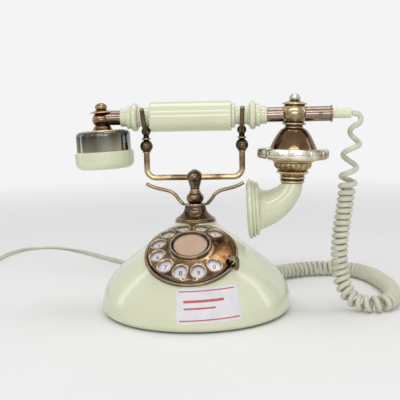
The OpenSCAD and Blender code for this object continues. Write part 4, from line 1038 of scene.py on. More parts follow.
def housing_skin():
    """Points inner + reach(way) way, with way turning from straight up down to the foot's rim.

    Where nothing sits on the skin, reach is its softened self, so that the ridges are rounded.
    """
    a = np.linspace(0, 2 * np.pi, 224, endpoint=False)
    along = np.stack([np.cos(a), np.sin(a)], -1) @ inner_point[:2]
    rim = base_r - 3.3
    out = np.sqrt(along ** 2 + rim ** 2 - inner_point[:2] @ inner_point[:2]) - along
    low = np.arctan2(out, pad_t + 0.3 - inner_point[2])
    tilt = low * np.linspace(0.004, 1, 150)[:, None]
    way = around(np.sin(tilt), a, np.cos(tilt))
    reach = skin_reach(way)
    free = free_skin(inner_point + way * reach[..., None])
    reach = reach + free * (softened(reach) - reach)
    rings = inner_point + way * reach[..., None]
    ceiling = plate_top + 0.1
    foot = [around(base_r - inset, a, z)
            for inset, z in ((3.5, pad_t), (3.55, pad_t + 0.3), (3.55, ceiling))]
    top = inner_point + [0, 0, 1] * skin_reach(np.array([[0, 0, 1.0]]))[:, None]
    return closed_grid(np.vstack([rings, foot]), top[0], [0, 0, ceiling])


class TELEPHONE_OT_make_housing(bpy.types.Operator):
    """Makes the round housing with its tilted dial seat, the neck and the blank paper label"""
    bl_idname = "telephone.make_housing"
    bl_label = "Housing"

    def execute(self, context):
        sizes = context.scene.telephone_sizes
        make_piece("housing", housing_skin(), ivory_plastic(), "base", ["base_housing"],
                   60)
        neck = turned(rounded(rod(neck_foot_r - 0.1, neck_low - 2, top_z), 0.8))
        make_piece("housing_neck", placed(neck, at_column), ivory_plastic(), "base")
        self.make_label(sizes.label_width / MM, sizes.label_height / MM)
        return {"FINISHED"}

    def make_label(self, width, height):
        """A blank sheet of paper on the skin, with plain bars.

        The sheet's point (u, v) is turned by label_turn to (x, y). It lies where the way from the
        inner point through (80 cos a, 80 sin a, label_z + 0.94 y) meets the skin, and a is the
        label's angle plus x / 86.
        """
        turn = math.radians(label_turn)

        def on_skin(u, v, lift):
            x = u * math.cos(turn) - v * math.sin(turn)
            y = u * math.sin(turn) + v * math.cos(turn)
            a = math.radians(label_angle) + x / 86
            way = unit(around(80, a, label_z + 0.94 * y) - inner_point)
            return inner_point + way * (skin_reach(way) + lift)[..., None]

        def sheet(u0, u1, v0, v1, low, high, nu, nv):
            u, v = np.meshgrid(np.linspace(u0, u1, nu), np.linspace(v0, v1, nv))
            rim = np.concatenate([np.arange(nu), np.arange(1, nv) * nu + nu - 1,
                                  (nv - 1) * nu + np.arange(nu - 2, -1, -1),
                                  np.arange(nv - 2, 0, -1) * nu])
            after = np.roll(rim, -1)
            top, back = (on_skin(u, v, k).reshape(-1, 3) for k in (high, low))
            n = len(top)
            quads = grid_quads(nv, nu, False, False)
            edge = np.stack([rim, rim + n, after + n, after], -1)
            return outward(np.vstack([top, back]),
                           np.vstack([quads[:, ::-1], quads + n, edge[:, ::-1]]), no_tris)

        w, h = width / 2, height / 2
        make_piece("blank_label", sheet(-w, w, -h, h, 0.02, 0.16, 40, 24), label_paper(), "base",
                   sharp=30)
        bars = [sheet(left - w, w - right, low, high, 0.12, 0.2, count, 3)
                for left, right, low, high, count in (
                    (2, 2, h - 3.2, h - 2.2, 40), (2, 2, 2.2 - h, 3.2 - h, 40),
                    (6, 14, 2.2, 4.4, 30), (6, 22, -3.2, -1.8, 30))]
        make_piece("label_bars", joined(*bars), red_ink(), "base", sharp=30)


# ---------------------------------------------------------------- dial

dome = np.array([(hub_r, 7.2), (20.8, 7.0), (22.4, 6.3), (24, 5.7), (27, 4.95), (30, 4.3),
                 (33, 3.55), (wheel_r - 1.4, 2.5), (wheel_r - 0.5, 2.0), (wheel_r, 1.4)])


def dome_height(r):
    """Height of the finger wheel at radius r, read from its profile."""
    return np.interp(r, dome[:, 0], dome[:, 1])


def dome_under(r):
    """Underside of the finger wheel, 1.7 mm lower and 0.9 mm at the rim."""
    return dome_height(r) - np.interp(r, [wheel_r - 1.5, wheel_r], [1.7, 0.9])


def plate_height(r):
    """Top of the number plate, which follows the wheel's underside 1.1 mm below it."""
    return np.maximum(dome_under(r) - 1.1, plate_z + 0.2)


class TELEPHONE_OT_make_dial(bpy.types.Operator):
    """Makes the bezel, the numbers, the finger wheel with its card, and the finger stop"""
    bl_idname = "telephone.make_dial"
    bl_label = "Dial"

    def execute(self, context):
        sizes = context.scene.telephone_sizes
        rim_in = wheel_r + 0.9
        bead = oval(((bezel_r + rim_in) / 2, -1), (bezel_r - rim_in) / 2, 1.0, 0, 180, 14)
        bezel = row((bezel_in_r, seat_z), (bezel_r, seat_z), (bezel_r, -1.9),
                    (bezel_r - 0.25, -1.6), bead, (rim_in, seat_z + 0.7),
                    (bezel_in_r, seat_z + 0.7))
        self.piece("bezel", turned(bezel, 128), dark_bronze(), "base", ["dial_bezel"], "brass")
        # A black ring in the narrow gap between the bezel and the wheel: painted shade.
        groove = [(wheel_r - 1.1, seat_z + 0.72), (rim_in - 0.02, seat_z + 0.72),
                  (rim_in - 0.02, seat_z + 0.9), (wheel_r - 1.1, seat_z + 0.9)]
        self.piece("bezel_groove", turned(groove, 128), black_groove(), "base",
                   slot="black_plastic")
        r = np.linspace(plate_r, plate_in_r, 9)
        plate = row((plate_in_r, plate_z - 0.5), (plate_r, plate_z - 0.5),
                    np.column_stack([r, plate_height(r)]))
        self.piece("numbers_plate", turned(plate, 128), plate_enamel(), "base", ["number_plate"],
                   "number_white")
        self.make_digits(sizes.digit_height / MM)
        wheel = holed_ring(dome_height, dome_under, 10, 2, first_hole, hole_circle_r, finger_hole_r,
                           hub_r, wheel_r, sizes.wheel_lip / MM)
        self.piece("finger_wheel_disc", wheel, wheel_brass(), "dial", ["finger_wheel"], "brass", 34,
                   weld=True)
        bead = self.hole_bead()
        beads = [placed(bead, moved((0, 0, 0), "Z", first_hole + hole_step * k)) for k in range(10)]
        self.piece("finger_hole_beads", joined(*beads), tarnished_brass(), "dial", slot="pale_gold")
        hub = rounded([(0, 5), (hub_r - 0.6, 5), (hub_r + 0.4, 6), (hub_r + 0.2, hub_top),
                       (0, hub_top)], 0.3)
        self.piece("wheel_hub", turned(hub), dark_bronze(), "dial", slot="brass")
        self.make_card()
        self.make_stop()
        return {"FINISHED"}

    def piece(self, name, surface, finish, body, replaces=(), slot=None, sharp=38, weld=False):
        """A piece of the dial, made round +Z and then tilted to its seat."""
        return make_piece(name, placed(surface, on_dial), finish, body, replaces, sharp, weld)

    def hole_bead(self):
        """Ring round a finger hole: radius R + 0.55 cos b, height dome(r) + 0.42 + 0.5 sin b."""
        a = np.linspace(0, 2 * np.pi, 56, endpoint=False)[:, None]
        b = np.linspace(0, 2 * np.pi, 10, endpoint=False)
        middle_r = finger_hole_r + 0.62
        under = np.hypot(hole_circle_r + middle_r * np.cos(a), middle_r * np.sin(a))
        ring = around(middle_r + 0.55 * np.cos(b), a, dome_height(under) + 0.42 + 0.5 * np.sin(b))
        return closed_grid(ring + [hole_circle_r, 0, 0], close_rows=True)

    def make_digits(self, height):
        """Numbers 1 to 9 and 0 on the plate, each upright under its own finger hole."""
        parts = []
        for k, digit in enumerate("1234567890"):
            data = bpy.data.curves.new("digit", "FONT")
            data.body = digit
            data.size, data.extrude, data.resolution_u = height / 0.7, 0.04, 6
            data.align_x, data.align_y = "CENTER", "CENTER"
            thing = bpy.data.objects.new("digit", data)
            bpy.context.scene.collection.objects.link(thing)
            bpy.context.view_layer.update()
            seen = thing.evaluated_get(bpy.context.evaluated_depsgraph_get())
            shape = bpy.data.meshes.new_from_object(seen)
            shape.calc_loop_triangles()
            points = np.empty(3 * len(shape.vertices))
            tris = np.empty(3 * len(shape.loop_triangles), np.int32)
            shape.vertices.foreach_get("co", points)
            shape.loop_triangles.foreach_get("vertices", tris)
            bpy.data.objects.remove(thing)
            angle = math.radians(first_hole + hole_step * k)
            points = points.reshape(-1, 3) + around(hole_circle_r - 0.4, angle, 0)
            points[:, 2] += plate_height(np.hypot(points[:, 0], points[:, 1])) + 0.05
            parts.append((points, no_quads, tris.reshape(-1, 3)))
        self.piece("dial_numbers", joined(*parts), black_ink(), "base", slot="black_plastic",
                   weld=True)

    def make_card(self):
        """The frame, a black ring of painted shade in the groove at the card's edge, the bare card
        and the domed window in the middle of the wheel.
        """
        inner_r = card_r - 0.1
        crown = row((card_r, hub_top), (card_r + 3.5, hub_top), (card_r + 3.6, hub_top + 0.9),
                    oval((card_r + 2.1, hub_top + 1.5), 1.4, 1.7, 0, 160, 12),
                    (card_r + 0.4, hub_top + 1.7), (card_r, hub_top + 1.4))
        self.piece("card_frame", turned(rounded(crown, 0.2, 2, True), 128), dark_bronze(), "dial",
                   ["card_ring"], "brass")
        # Black ring at the card's edge: painted shade in the groove between card and frame.
        groove_shade = oval((card_r - 0.35, hub_top + 1.55), 0.55, 0.35, 0, 330, 10)
        self.piece("card_gasket", turned(groove_shade), black_groove(), "dial", slot="black_plastic")
        card = rounded(rod(inner_r, hub_top + 0.35, hub_top + 1.0), 0.1, 2)
        self.piece("paper_card", turned(card), card_paper(), "dial", ["dial_card"], "card")
        window = row((0, hub_top + 1.3), (inner_r, hub_top + 1.3), (inner_r, hub_top + 1.75),
                     oval((0, hub_top + 1.75), card_r - 0.4, 0.45, 0, 86, 10), (0, hub_top + 2.2))
        self.piece("card_cover", turned(rounded(window, 0.06, 2)), window_plastic(), "dial",
                   ["card_window"], "window")

    def make_stop(self):
        """A bent strip: its middle line rises beside the bezel and hooks over the wheel."""
        bends = [(2.0, -5), (2.1, -1), (2.0, 2.4), (1.2, 4.4), (-0.6, 5.3), (-3.0, 5.5),
                 (-4.8, 5.7), (-6.4, 6.3)]
        path = spline([(bezel_r + out, 0, z) for out, z in bends], 5)
        s = running(path) / running(path)[-1]
        half_y = np.interp(s, [0, 0.55, 0.85, 0.95, 1], [3.3, 3.2, 2.8, 2.4, 1.8])
        half = np.interp(s, [0, 0.45, 0.65, 1], [1.5, 1.4, 0.8, 0.6])
        strip = placed(upright_bar(path, half_y, half, 24, 3.4), moved((0, 0, 0), "Z", stop_angle))
        self.piece("finger_hook", strip, dark_bronze(), "base", ["finger_stop"], "pale_gold", 50)


# ---------------------------------------------------------------- column and cradle

class TELEPHONE_OT_make_column(bpy.types.Operator):
    """Makes the flared column foot, the collar with its bulb and the two wing arms"""
    bl_idname = "telephone.make_column"
    bl_label = "Column"

    def execute(self, context):
        z, r = top_z, foot_r
        f = np.linspace(0.06, 1, 16)[1:]
        flare = np.stack([10 + (r - 11) * (1 - f) ** 2.4, z + 3.3 + f * 11.3], -1)
        foot = row((0, z), (r, z), (r + 0.25, z + 0.9), (r, z + 1.9), (r - 0.6, z + 2.05),
                   (r - 0.6, z + 2.5), (r - 0.35, z + 2.9), (r - 0.8, z + 3.5),
                   (r - 1.6, z + 3.65), flare, (10.0, collar_z), (0, collar_z))
        make_piece("column_bell", placed(turned(rounded(foot, 0.35), 128), at_column),
                   dark_bronze(), "base", ["column_foot"], 50)
        z = collar_z
        bulb = oval((3.2, z + 7.4), 5.1, 5.1, -62, 58, 22)
        collar = row((0, z), (9.3, z), (9.8, z + 0.6), (9.8, z + 1.2), (9.35, z + 1.45),
                     (9.8, z + 1.7), (9.6, z + 2.4), (8.8, z + 2.7), (5.5, z + 2.85), bulb,
                     (5.7, z + 12.2), (5.8, z + 12.9), (5.2, z + 13.4), (4.9, z + 14.2),
                     (0, z + 14.2))
        make_piece("column_waist", placed(turned(rounded(collar, 0.25), 112), at_column),
                   tarnished_brass(), "base", ["column_collar"], 50)
        for side, name in ((-1, "left_wing"), (1, "right_wing")):
            make_piece(name, self.wing(side), tarnished_brass(), "base", [f"{name}_arm"],
                       45)
        return {"FINISHED"}

    def wing(self, side):
        """A rising arm through nine points; it starts thin inside the collar and ends square."""
        heights = [(7, 1.3), (10, 1.3), (12.4, 2.7), (15.4, 6), (19, 10.8), (24, 14), (31.5, 16),
                   (39.5, 18.2), (46.3, 21.6)]
        path = spline([(side * x, col_y, collar_z + h) for x, h in heights], 6)
        radius = np.interp(np.abs(path[:, 0]), [10.3, 12, 45.6, 46.3], [0.9, 1.7, 1.7, 1.5])
        return upright_bar(path, radius, radius, 20, 2.3)


class TELEPHONE_OT_make_cradle(bpy.types.Operator):
    """Makes the yoke ball and the two forks, and finishes the cradle bar"""
    bl_idname = "telephone.make_cradle"
    bl_label = "Cradle"

    def execute(self, context):
        low = collar_z + 14.6
        ball = oval((0, bar_z + 0.2), 7.5, 6.8, -32, 72, 24)
        yoke = row((0, low), (4.6, low), (4.85, low + 0.5), (4.6, low + 1.2), (4.2, low + 1.5),
                   (4.5, low + 3), ball, (2.3, bar_z + 6.75), (2.35, bar_z + 7.1),
                   (1.5, bar_z + 7.5), (0, bar_z + 7.55))
        make_piece("yoke_ball", placed(turned(rounded(yoke, 0.2, 2)), at_column), tarnished_brass(),
                   "cradle", ["yoke_hub"], 50)
        dress(worn_gold(), "cradle_bar")
        for side, name in ((-1, "left"), (1, "right")):
            at_fork = moved((side * fork_half, col_y, 0))
            make_piece(f"{name}_fork_balls", placed(self.balls(), at_fork), dark_bronze(),
                       "cradle", [f"{name}_fork"], 50)
            make_piece(f"{name}_fork_prongs", self.prongs(side), dark_bronze(), "cradle",
                       sharp=60)
        return {"FINISHED"}

    def balls(self):
        """The large ball of a fork on its collar, and the small ball on top."""
        low, top = knob_z - knob_r + 1, knob_z + knob_r
        lower = oval((0, knob_z), knob_r, knob_r, -54, 64, 26)
        upper = oval((0, top_knob_z), top_knob_r, top_knob_r, -52, 88, 22)
        outline = row((0, low - 1), (3.9, low - 1), (4.1, low - 0.5), (3.8, low - 0.05), lower,
                      (2.7, top - 0.2), (4.2, top + 0.4), (4.4, top + 0.95), (4.2, top + 1.5),
                      (2.8, top + 2.1), upper, (0, top_knob_z + top_knob_r))
        return turned(rounded(outline, 0.2, 2), 80)

    def prongs(self, side):
        """Two bars that rise beside the neck, thicker upwards, with domed tips."""
        shape = [(1.2, -2.2), (4.6, -0.6), (8.6, 3.4), (11.6, 8.2), (13.6, 13.4), (14.9, 18.6),
                 (15.2, 20.0)]
        bars = []
        for way in (-1, 1):
            path = spline([(side * (fork_half + 0.06 * h), col_y + way * y, top_knob_z + h)
                           for y, h in shape], 6)
            radius = prong_r * (0.86 + 0.14 * np.linspace(0, 1, len(path)))
            path, radius = dropped_ends(path, radius)
            t = headings(path)
            u = square_to(np.array([1.0, 0, 0]), t)
            bars.append(tube(path, u, np.cross(t, u), radius, radius, 20))
        return joined(*bars)


# ---------------------------------------------------------------- handset

def handset_piece(place, name, surface, finish, nodes, weld=False):
    """A piece that rides on the handset, made about its own axis and then put in its place."""
    return make_piece(name, placed(surface, place), finish, "handset", nodes, 50, weld)


def grooved(x0, x1, r):
    """Outline points of a round groove in the middle of a step from x0 to x1 at radius r."""
    depth, half, middle = 0.3, 0.25, (x0 + x1) / 2
    return [(r, middle - half), (r - depth, middle - half * 0.6), (r - depth, middle + half * 0.6),
            (r, middle + half)]


class TELEPHONE_OT_make_grip(bpy.types.Operator):
    """Makes the grip, both ferrules, the end flange and the cord sleeve along the brass tube"""
    bl_idname = "telephone.make_grip"
    bl_label = "Grip and Ferrules"

    def execute(self, context):
        x0, x1, x2 = grip_x0, grip_x1, collar_x1
        outline = row((0, x0), (grip_r, x0), (grip_r, x1), (11.3, x1), (10.7, x1 + 0.35),
                      (11.4, x1 + 0.75), (11.4, x2), (0, x2))
        barrel = rounded(outline, [0, 1.5, 1.5, 0.3, 0.2, 0.3, 0.8, 0], 6)
        handset_piece(along_x, "grip_handle", turned(barrel, 128), ivory_plastic(), ["grip_barrel"])
        self.ferrule("left_ferrule_rings", grip_x0, left_flange_x, -1, "left_ferrule")
        self.ferrule("right_ferrule_rings", collar_x1, right_flange_x, 1, "right_ferrule")
        flange = turned(rounded(rod(7.8, tail_x, sleeve_x0), 0.7, 5), 80)
        handset_piece(along_x, "end_flange", flange, dark_bronze(), ["tube_end_flange"])
        sleeve = turned(rounded(rod(4.55, sleeve_x0, sleeve_x1), [0, 0.5, 1.2, 0], 6), 64)
        handset_piece(along_x, "sleeve", sleeve, ivory_plastic(), ["cord_sleeve"])
        wall = [(tube_in_r, tube_x0), (tube_r, tube_x0), (tube_r, tail_x), (tube_in_r, tail_x)]
        handset_piece(along_x, "brass_tube", turned(rounded(wall, 0.2, 2, True)), red_brass(),
                      ["handset_tube"])
        dress(dark_bronze(), "set_screw")
        return {"FINISHED"}

    def ferrule(self, name, x_neck, x_flange, way, node):
        """Neck, torus flange and two grooved steps, running outwards from the grip."""
        x1, step_r, bead_r = flange_w, 10.7, 3.05
        x2 = x1 + steps_w[0]
        x3 = x2 + steps_w[1]
        neck = abs(x_flange - x_neck)
        shape = row((0, -neck), (neck_r, -neck), (neck_r, -1.7), (9.5, -1.5), (9.5, -0.2),
                    (neck_r, 0), oval((flange_r - bead_r, x1 / 2), bead_r, x1 / 2, -82, 82, 14),
                    (9.6, x1), (step_r, x1 + 0.2), grooved(x1, x2, step_r), (step_r, x2 - 0.1),
                    (neck_r, x2 + 0.1), grooved(x2, x2 + 3.4, neck_r),
                    grooved(x2 + 2.2, x3, neck_r), (neck_r, x3), (0, x3))
        outline = rounded(shape, 0.35)
        outline[:, 1] = x_flange + way * outline[:, 1]
        handset_piece(along_x, name, turned(outline, 112), ivory_plastic(), [node])


class TELEPHONE_OT_make_receiver(bpy.types.Operator):
    """Makes the receiver's hub, button, brass cup and ivory ear cap"""
    bl_idname = "telephone.make_receiver"
    bl_label = "Receiver"

    def execute(self, context):
        ball = oval((0, -1.4), 9.1, 7.6, -46, 50, 24)
        hub = row((0, -12), (9.6, -12), (9.9, -11.5), (9.6, -10.9), (8.8, -10.4), (8.3, -8.6),
                  (7.5, -7.4), ball, (5.6, 4.5), (10.2, 4.7), (10.7, 5.3), (10.2, 5.95), (7.4, 6.5),
                  (6.2, 7.2), (4.6, 8.2), (4.6, 9), (0, 9))
        handset_piece(at_receiver, "receiver_yoke", turned(rounded(hub, 0.3)), copper_tone(),
                      ["receiver_hub"])
        button = row((0, 8.4), (5.4, 8.6), (5.9, 9.1), (5.5, 9.5),
                     oval((0, 9.6), 5.9, 4.6, 6, 84, 14), (0, 14.2))
        handset_piece(at_receiver, "receiver_button", turned(rounded(button, 0.15, 2), 80),
                      worn_gold(), [])
        r, top = cup_r, cup_top
        shell = row((0, top), (r - 6.5, top), (r - 5.2, top - 0.1),
                    oval((r - 4, top - 4.2), 4, 4, 74, 0, 14), (r, cup_low), (r - 1.3, cup_low),
                    (r - 1.3, top - 4.4), (r - 3.2, top - 1.9), (0, top - 1.3))
        handset_piece(at_receiver, "receiver_bell", turned(rounded(shell, 0.25, 2), 128),
                      streaked_plating(), ["receiver_cup"])
        bead = oval((r - 5.6, top - 0.1), 0.6, 0.55, 0, 330, 11)
        handset_piece(at_receiver, "receiver_bead", turned(bead, 112), worn_gold(), [])
        self.make_ear_cap()
        return {"FINISHED"}

    def make_ear_cap(self):
        """The ivory cap under the cup: a rounded wall and a dished plate with six holes."""
        r, low, ear = ear_cap_r, cup_low, ear_low
        wall = row((24.2, low), (26.6, low), (27.4, low - 0.3), (r, low - 1.2), (r, low - 6),
                   (27.55, low - 8.5), oval((r - 6, ear + 6.5), 5.95, 6.5, 0, -82, 16),
                   (18.5, ear + 0.2), (14, ear + 1.2), (14, ear + 3.4), (20, ear + 3),
                   (24, ear + 6), (24.2, low - 1.5))
        handset_piece(at_receiver, "ear_cap_shell", turned(rounded(wall, 0.3, 3, True), 128),
                      ivory_plastic(), ["ear_cap"])
        plate = holed_ring(lambda r: ear + 2.2 - r / 14, lambda r: ear + 4.2 - r / 17.5,
                           6, 0, 0, 8.0, 1.4, 1.4, 14.0)
        handset_piece(at_receiver, "ear_cap_plate", plate, ivory_plastic(), [], weld=True)


def spheres(places, radius):
    """Small round beads: place + R (sin q cos a, sin q sin a, cos q) for each place."""
    q = np.linspace(0, np.pi, 7)[1:-1, None]
    a = np.linspace(0, 2 * np.pi, 8, endpoint=False)
    ball, quads, tris = closed_grid(radius * around(np.sin(q), a, np.cos(q)), [0, 0, radius],
                                    [0, 0, -radius])
    return joined(*[(ball + place, quads, tris) for place in places])


def on_circle(count, r, z):
    """Evenly spaced places on a level circle."""
    return around(r, 2 * np.pi * np.arange(count) / count, z)


class TELEPHONE_OT_make_transmitter(bpy.types.Operator):
    """Makes the transmitter's hub, dome, lobed ring and stepped cup"""
    bl_idname = "telephone.make_transmitter"
    bl_label = "Transmitter"

    def execute(self, context):
        barrel = oval((0, 0.9), 12.5, 11.6, -44, 43, 24)
        hub = row((0, dome_top), (8.8, dome_top), (9.1, -12.1), (8.8, -11.7), (8.3, -11.3),
                  (8.3, -10.2), (10.8, -9.4), (11.3, -8.7), (10.8, -7.9), (9.2, -7.5), barrel,
                  (9.4, 8.9), (11.3, 9.1), (11.8, 9.8), (11.2, 10.5), (8.2, 11.4), (6.4, 12.2),
                  (4.6, 12.9), (4.5, 14), (0, 14))
        handset_piece(at_transmitter, "transmitter_yoke", turned(rounded(hub, 0.3)), worn_gold(),
                      ["transmitter_hub"])
        button = row((0, 13.4), (5.0, 13.7), (5.5, 14.3), (5.2, 14.7),
                     oval((0, 14.8), 5.4, 4.2, 6, 84, 14), (0, 19.0))
        handset_piece(at_transmitter, "transmitter_button", turned(rounded(button, 0.15, 2), 80),
                      bright_nickel(), [])
        f = np.linspace(0.02, 1, 26)
        outer = np.stack([9.1 + 12.9 * f ** 0.62, dome_top + (dome_low - dome_top) * f], -1)
        shell = row((0, dome_top), (9.1, dome_top), outer, (20.6, dome_low),
                    outer[-4:5:-3] - [1.4, 0.6], (0, dome_top - 3))
        handset_piece(at_transmitter, "transmitter_bell", turned(shell, 128), smooth_brass(),
                      ["transmitter_dome"])
        handset_piece(at_transmitter, "petal_ring", self.petals(), pale_plating(), ["lobed_ring"])
        self.make_spool()
        return {"FINISHED"}

    def make_spool(self):
        """The stepped cup under the ring, with its petals, two rows of beads and a dark band."""
        low, z = ring_low, ring_low - 1.8
        cup = row((0, low), (23.6, low), (24.3, low - 0.5), (24.0, low - 1.1), (22.4, z + 0.2),
                  (18.4, z + 0.1), (18.6, z - 0.6), (18.2, z - 1.3), (17.4, z - 1.9), (17.2, z - 3),
                  (16.6, z - 5), (15.8, z - 6.6), (14.6, z - 8), (13.5, z - 9.3), (13.5, z - 9.9),
                  (14.3, z - 10.3), (14.4, z - 11.1), (13.6, z - 11.8), (12.4, z - 12.7),
                  (11.3, z - 13.8), (11.1, z - 14.6), (11.9, z - 15.2), (12.1, z - 15.9),
                  (11.7, z - 16.6), (10.8, z - 17.2), (10.7, z - 18.4), (11.4, z - 19),
                  (11.5, z - 19.6), (11.2, z - 20.2), (10.6, z - 20.6), (10.4, spool_low),
                  (0, spool_low))
        handset_piece(at_transmitter, "transmitter_spool",
                      turned(rounded(cup, 0.3), 240, lambda r, h, a: self.cup_petals(h - z, a)),
                      worn_gold(), ["transmitter_cup"])
        beads = joined(spheres(on_circle(40, 14.2, z - 10.7), 0.85),
                       spheres(on_circle(48, 18.4, z - 0.7), 0.75))
        handset_piece(at_transmitter, "bead_rows", beads, worn_gold(), [])
        band = [(10.3, z - 17.4), (11.0, z - 17.4), (11.0, z - 18.3), (10.3, z - 18.3)]
        handset_piece(at_transmitter, "dark_band", turned(band), black_groove(), [])

    def cup_petals(self, h, a):
        """Relief of twenty petals: 0.9 |cos 10 a| (1 - ((h + 5) / 3.2)^2), at least 0."""
        return 0.9 * np.abs(np.cos(10 * a)) * np.clip(1 - ((h + 5) / 3.2) ** 2, 0, 1)

    def petals(self):
        """Ring with lobes of radius q whose middles lie on a circle of radius c.

        Its outer radius is c cos d + sqrt(q^2 - c^2 sin^2 d), where d is the angle from the
        nearest lobe's middle. Its side is rounded by the insets of an oval, 0.5 mm fuller at half
        height, and its flat faces run in to the middle.
        """
        q = 0.47 * ring_r
        c = ring_r - q
        a = np.linspace(0, 2 * np.pi, 320, endpoint=False)
        step = 2 * np.pi / lobes
        d = (a - math.radians(lobe_turn)) % step - step / 2
        half, middle = (dome_low - ring_low) / 2, (dome_low + ring_low) / 2
        side = row((-7.0, half), oval((-2.2, half - 2.4), 2.2, 2.4, 90, 0, 6))
        side = np.vstack([side, side[::-1] * [1, -1]])
        inset = side[:, 0] + 0.5 * np.cos(np.pi * side[:, 1] / half / 2) - 0.5
        outer = c * np.cos(d) + np.sqrt(np.maximum(q ** 2 - (c * np.sin(d)) ** 2, 0))
        rings = around(outer + inset[:, None], a, middle + side[:, 1:])
        inner = [around(12, a, z) for z in (ring_low, dome_low)]
        return closed_grid(np.concatenate([rings, inner]), close_rows=True)


# The elbow leaves the spool along its axis and turns to the mouth, where it points along mouth_way
lean = math.radians(transmitter_lean)
spool_way = np.array([math.sin(lean), 0, math.cos(lean)])
elbow_start = np.array([transmitter_x, col_y, handset_z]) + spool_low * spool_way
elbow_bend = elbow_start - 22.6 * spool_way
elbow_end = elbow_start + [-29.6, 0, -23.6]
mouth_way = unit(elbow_end - elbow_bend)
mouth_turn = math.degrees(math.atan2(-mouth_way[2], -mouth_way[0]))
at_mouth = moved(elbow_end + 1.2 * mouth_way, "Y", -90 - mouth_turn)


class TELEPHONE_OT_make_mouthpiece(bpy.types.Operator):
    """Makes the curved elbow and the mouthpiece with its holes.

    The elbow's middle line is (1-t)^3 a + 3t(1-t)^2 b + 3t^2(1-t) c + t^3 d, where b lies 9.5 mm
    below its start a and c 14 mm before its end d. It widens towards the mouth, with two fine
    grooves.
    """
    bl_idname = "telephone.make_mouthpiece"
    bl_label = "Mouthpiece"

    def execute(self, context):
        t = np.linspace(0, 1, 81)[:, None]
        down = unit(elbow_bend - elbow_start)
        path = ((1 - t) ** 3 * elbow_start + 3 * t * (1 - t) ** 2 * (elbow_start + 9.5 * down)
                + 3 * t ** 2 * (1 - t) * (elbow_end - 14 * mouth_way) + t ** 3 * elbow_end)
        path = np.vstack([path, elbow_end + 1.2 * mouth_way])
        t = np.append(t[:, 0], 1.04)
        radius = 9.6 + 9.9 * (0.5 * t + 0.5 * t ** 2)
        radius = radius + 2.4 * np.clip((t - 0.965) / 0.075, 0, 1) ** 2
        for middle in (0.85, 0.9):
            radius = radius - 0.4 * np.exp(-((t - middle) / 0.012) ** 2)
        way = headings(path)
        way[0] = down
        make_piece("elbow", upright_bar(path, radius, radius, 96, way=way), ivory_plastic(),
                   "handset", ["mouthpiece_elbow"], 50)
        m = mouth_r
        rim = row((15, 0.4), (m - 6, 0), (m - 4.2, 0.4), (m - 3, 1.2), (m - 2.7, 2.1),
                  (m - 3.1, 2.9), (m - 4, 3.3), (m - 3.9, 3.7), (m - 1.9, 4.0), (m - 1.2, 4.9),
                  (m - 1.5, 5.8), (m - 2.5, 6.2), (m - 2.4, 6.6), (m - 0.6, 6.9), (m, 7.7),
                  (m, 9.2), (m - 0.6, 10.2), (m - 2.4, 10.9), (m - 5, 11.6), (m - 8, 11.6),
                  (m - 10, 10.9), (m - 15, 9.8), (m - 15, 7.6), (m - 9, 8.2), (m - 7.5, 6),
                  (15, 2.4))
        handset_piece(at_mouth, "mouth_rim", turned(rounded(rim, 0.45, 3, True), 128),
                      ivory_plastic(), ["mouthpiece_rim"])
        plate = holed_ring(lambda r: 9.2 + 0.6 * r / 13.4, lambda r: 7.2 + 0.4 * r / 13.4,
                           6, 0, 0, 7.0, 1.3, 1.3, m - 15)
        make_piece("mouth_plate", placed(plate, at_mouth), ivory_plastic(), "handset",
                   weld=True)
        return {"FINISHED"}


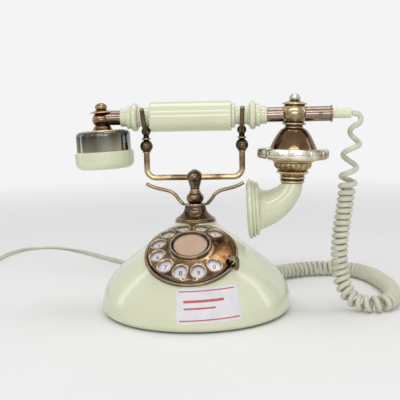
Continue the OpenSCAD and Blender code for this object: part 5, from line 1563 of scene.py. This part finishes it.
class TELEPHONE_OT_finish_inner_works(bpy.types.Operator):
    """Gives the parts inside the telephone, the pad and the grommets their finishes"""
    bl_idname = "telephone.finish_inner_works"
    bl_label = "Inner Works"

    def execute(self, context):
        dress(felt(), "base_pad")
        dress(zinc_steel(), "base_plate", "base_plate_screws", "column_nut", "dial_shaft",
              "plunger_rod", "hook_spring", "spring_bridge", "ringer_frame", "clapper",
              "dial_frame")
        dress(tarnished_brass(), "column_tube", "main_gear", "governor", "ringer_gongs")
        dress(black_rubber(), "handset_cord_grommet", "line_cord_grommet", "hook_switch",
              "receiver_element", "transmitter_element")
        dress(board_green(), "circuit_board")
        dress(coil_tape(), "ringer_coil")
        dress(clear_plastic(), "line_plug")
        return {"FINISHED"}


# ---------------------------------------------------------------- panel and start

making = (TELEPHONE_OT_set_stage, TELEPHONE_OT_make_curly_cord, TELEPHONE_OT_make_line_cord,
          TELEPHONE_OT_make_housing, TELEPHONE_OT_make_dial, TELEPHONE_OT_make_column,
          TELEPHONE_OT_make_cradle, TELEPHONE_OT_make_grip, TELEPHONE_OT_make_receiver,
          TELEPHONE_OT_make_transmitter, TELEPHONE_OT_make_mouthpiece,
          TELEPHONE_OT_finish_inner_works)


class TELEPHONE_PT_panel(bpy.types.Panel):
    """Sizes, colours and making steps of the telephone"""
    bl_label = "Cradle Telephone"
    bl_idname = "TELEPHONE_PT_panel"
    bl_space_type = "VIEW_3D"
    bl_region_type = "UI"
    bl_category = "Telephone"

    def draw(self, context):
        for group in (context.scene.telephone_sizes, context.scene.telephone_colours,
                      context.scene.telephone_stage):
            box = self.layout.box()
            for name in group.__annotations__:
                box.prop(group, name)
        for step in making:
            self.layout.operator(step.bl_idname)


groups = {"telephone_sizes": TelephoneSizes, "telephone_colours": TelephoneColours,
          "telephone_stage": TelephoneStage}


def register():
    for group in groups.values():
        bpy.utils.register_class(group)
    for name, group in groups.items():
        setattr(bpy.types.Scene, name, bpy.props.PointerProperty(type=group))
    for step in (*making, TELEPHONE_PT_panel):
        bpy.utils.register_class(step)


def unregister():
    for step in (TELEPHONE_PT_panel, *making[::-1]):
        bpy.utils.unregister_class(step)
    for name, group in groups.items():
        delattr(bpy.types.Scene, name)
        bpy.utils.unregister_class(group)


def main():
    register()
    for step in making:
        getattr(bpy.ops.telephone, step.bl_idname.split(".")[1])()


if __name__ == "__main__":
    main()
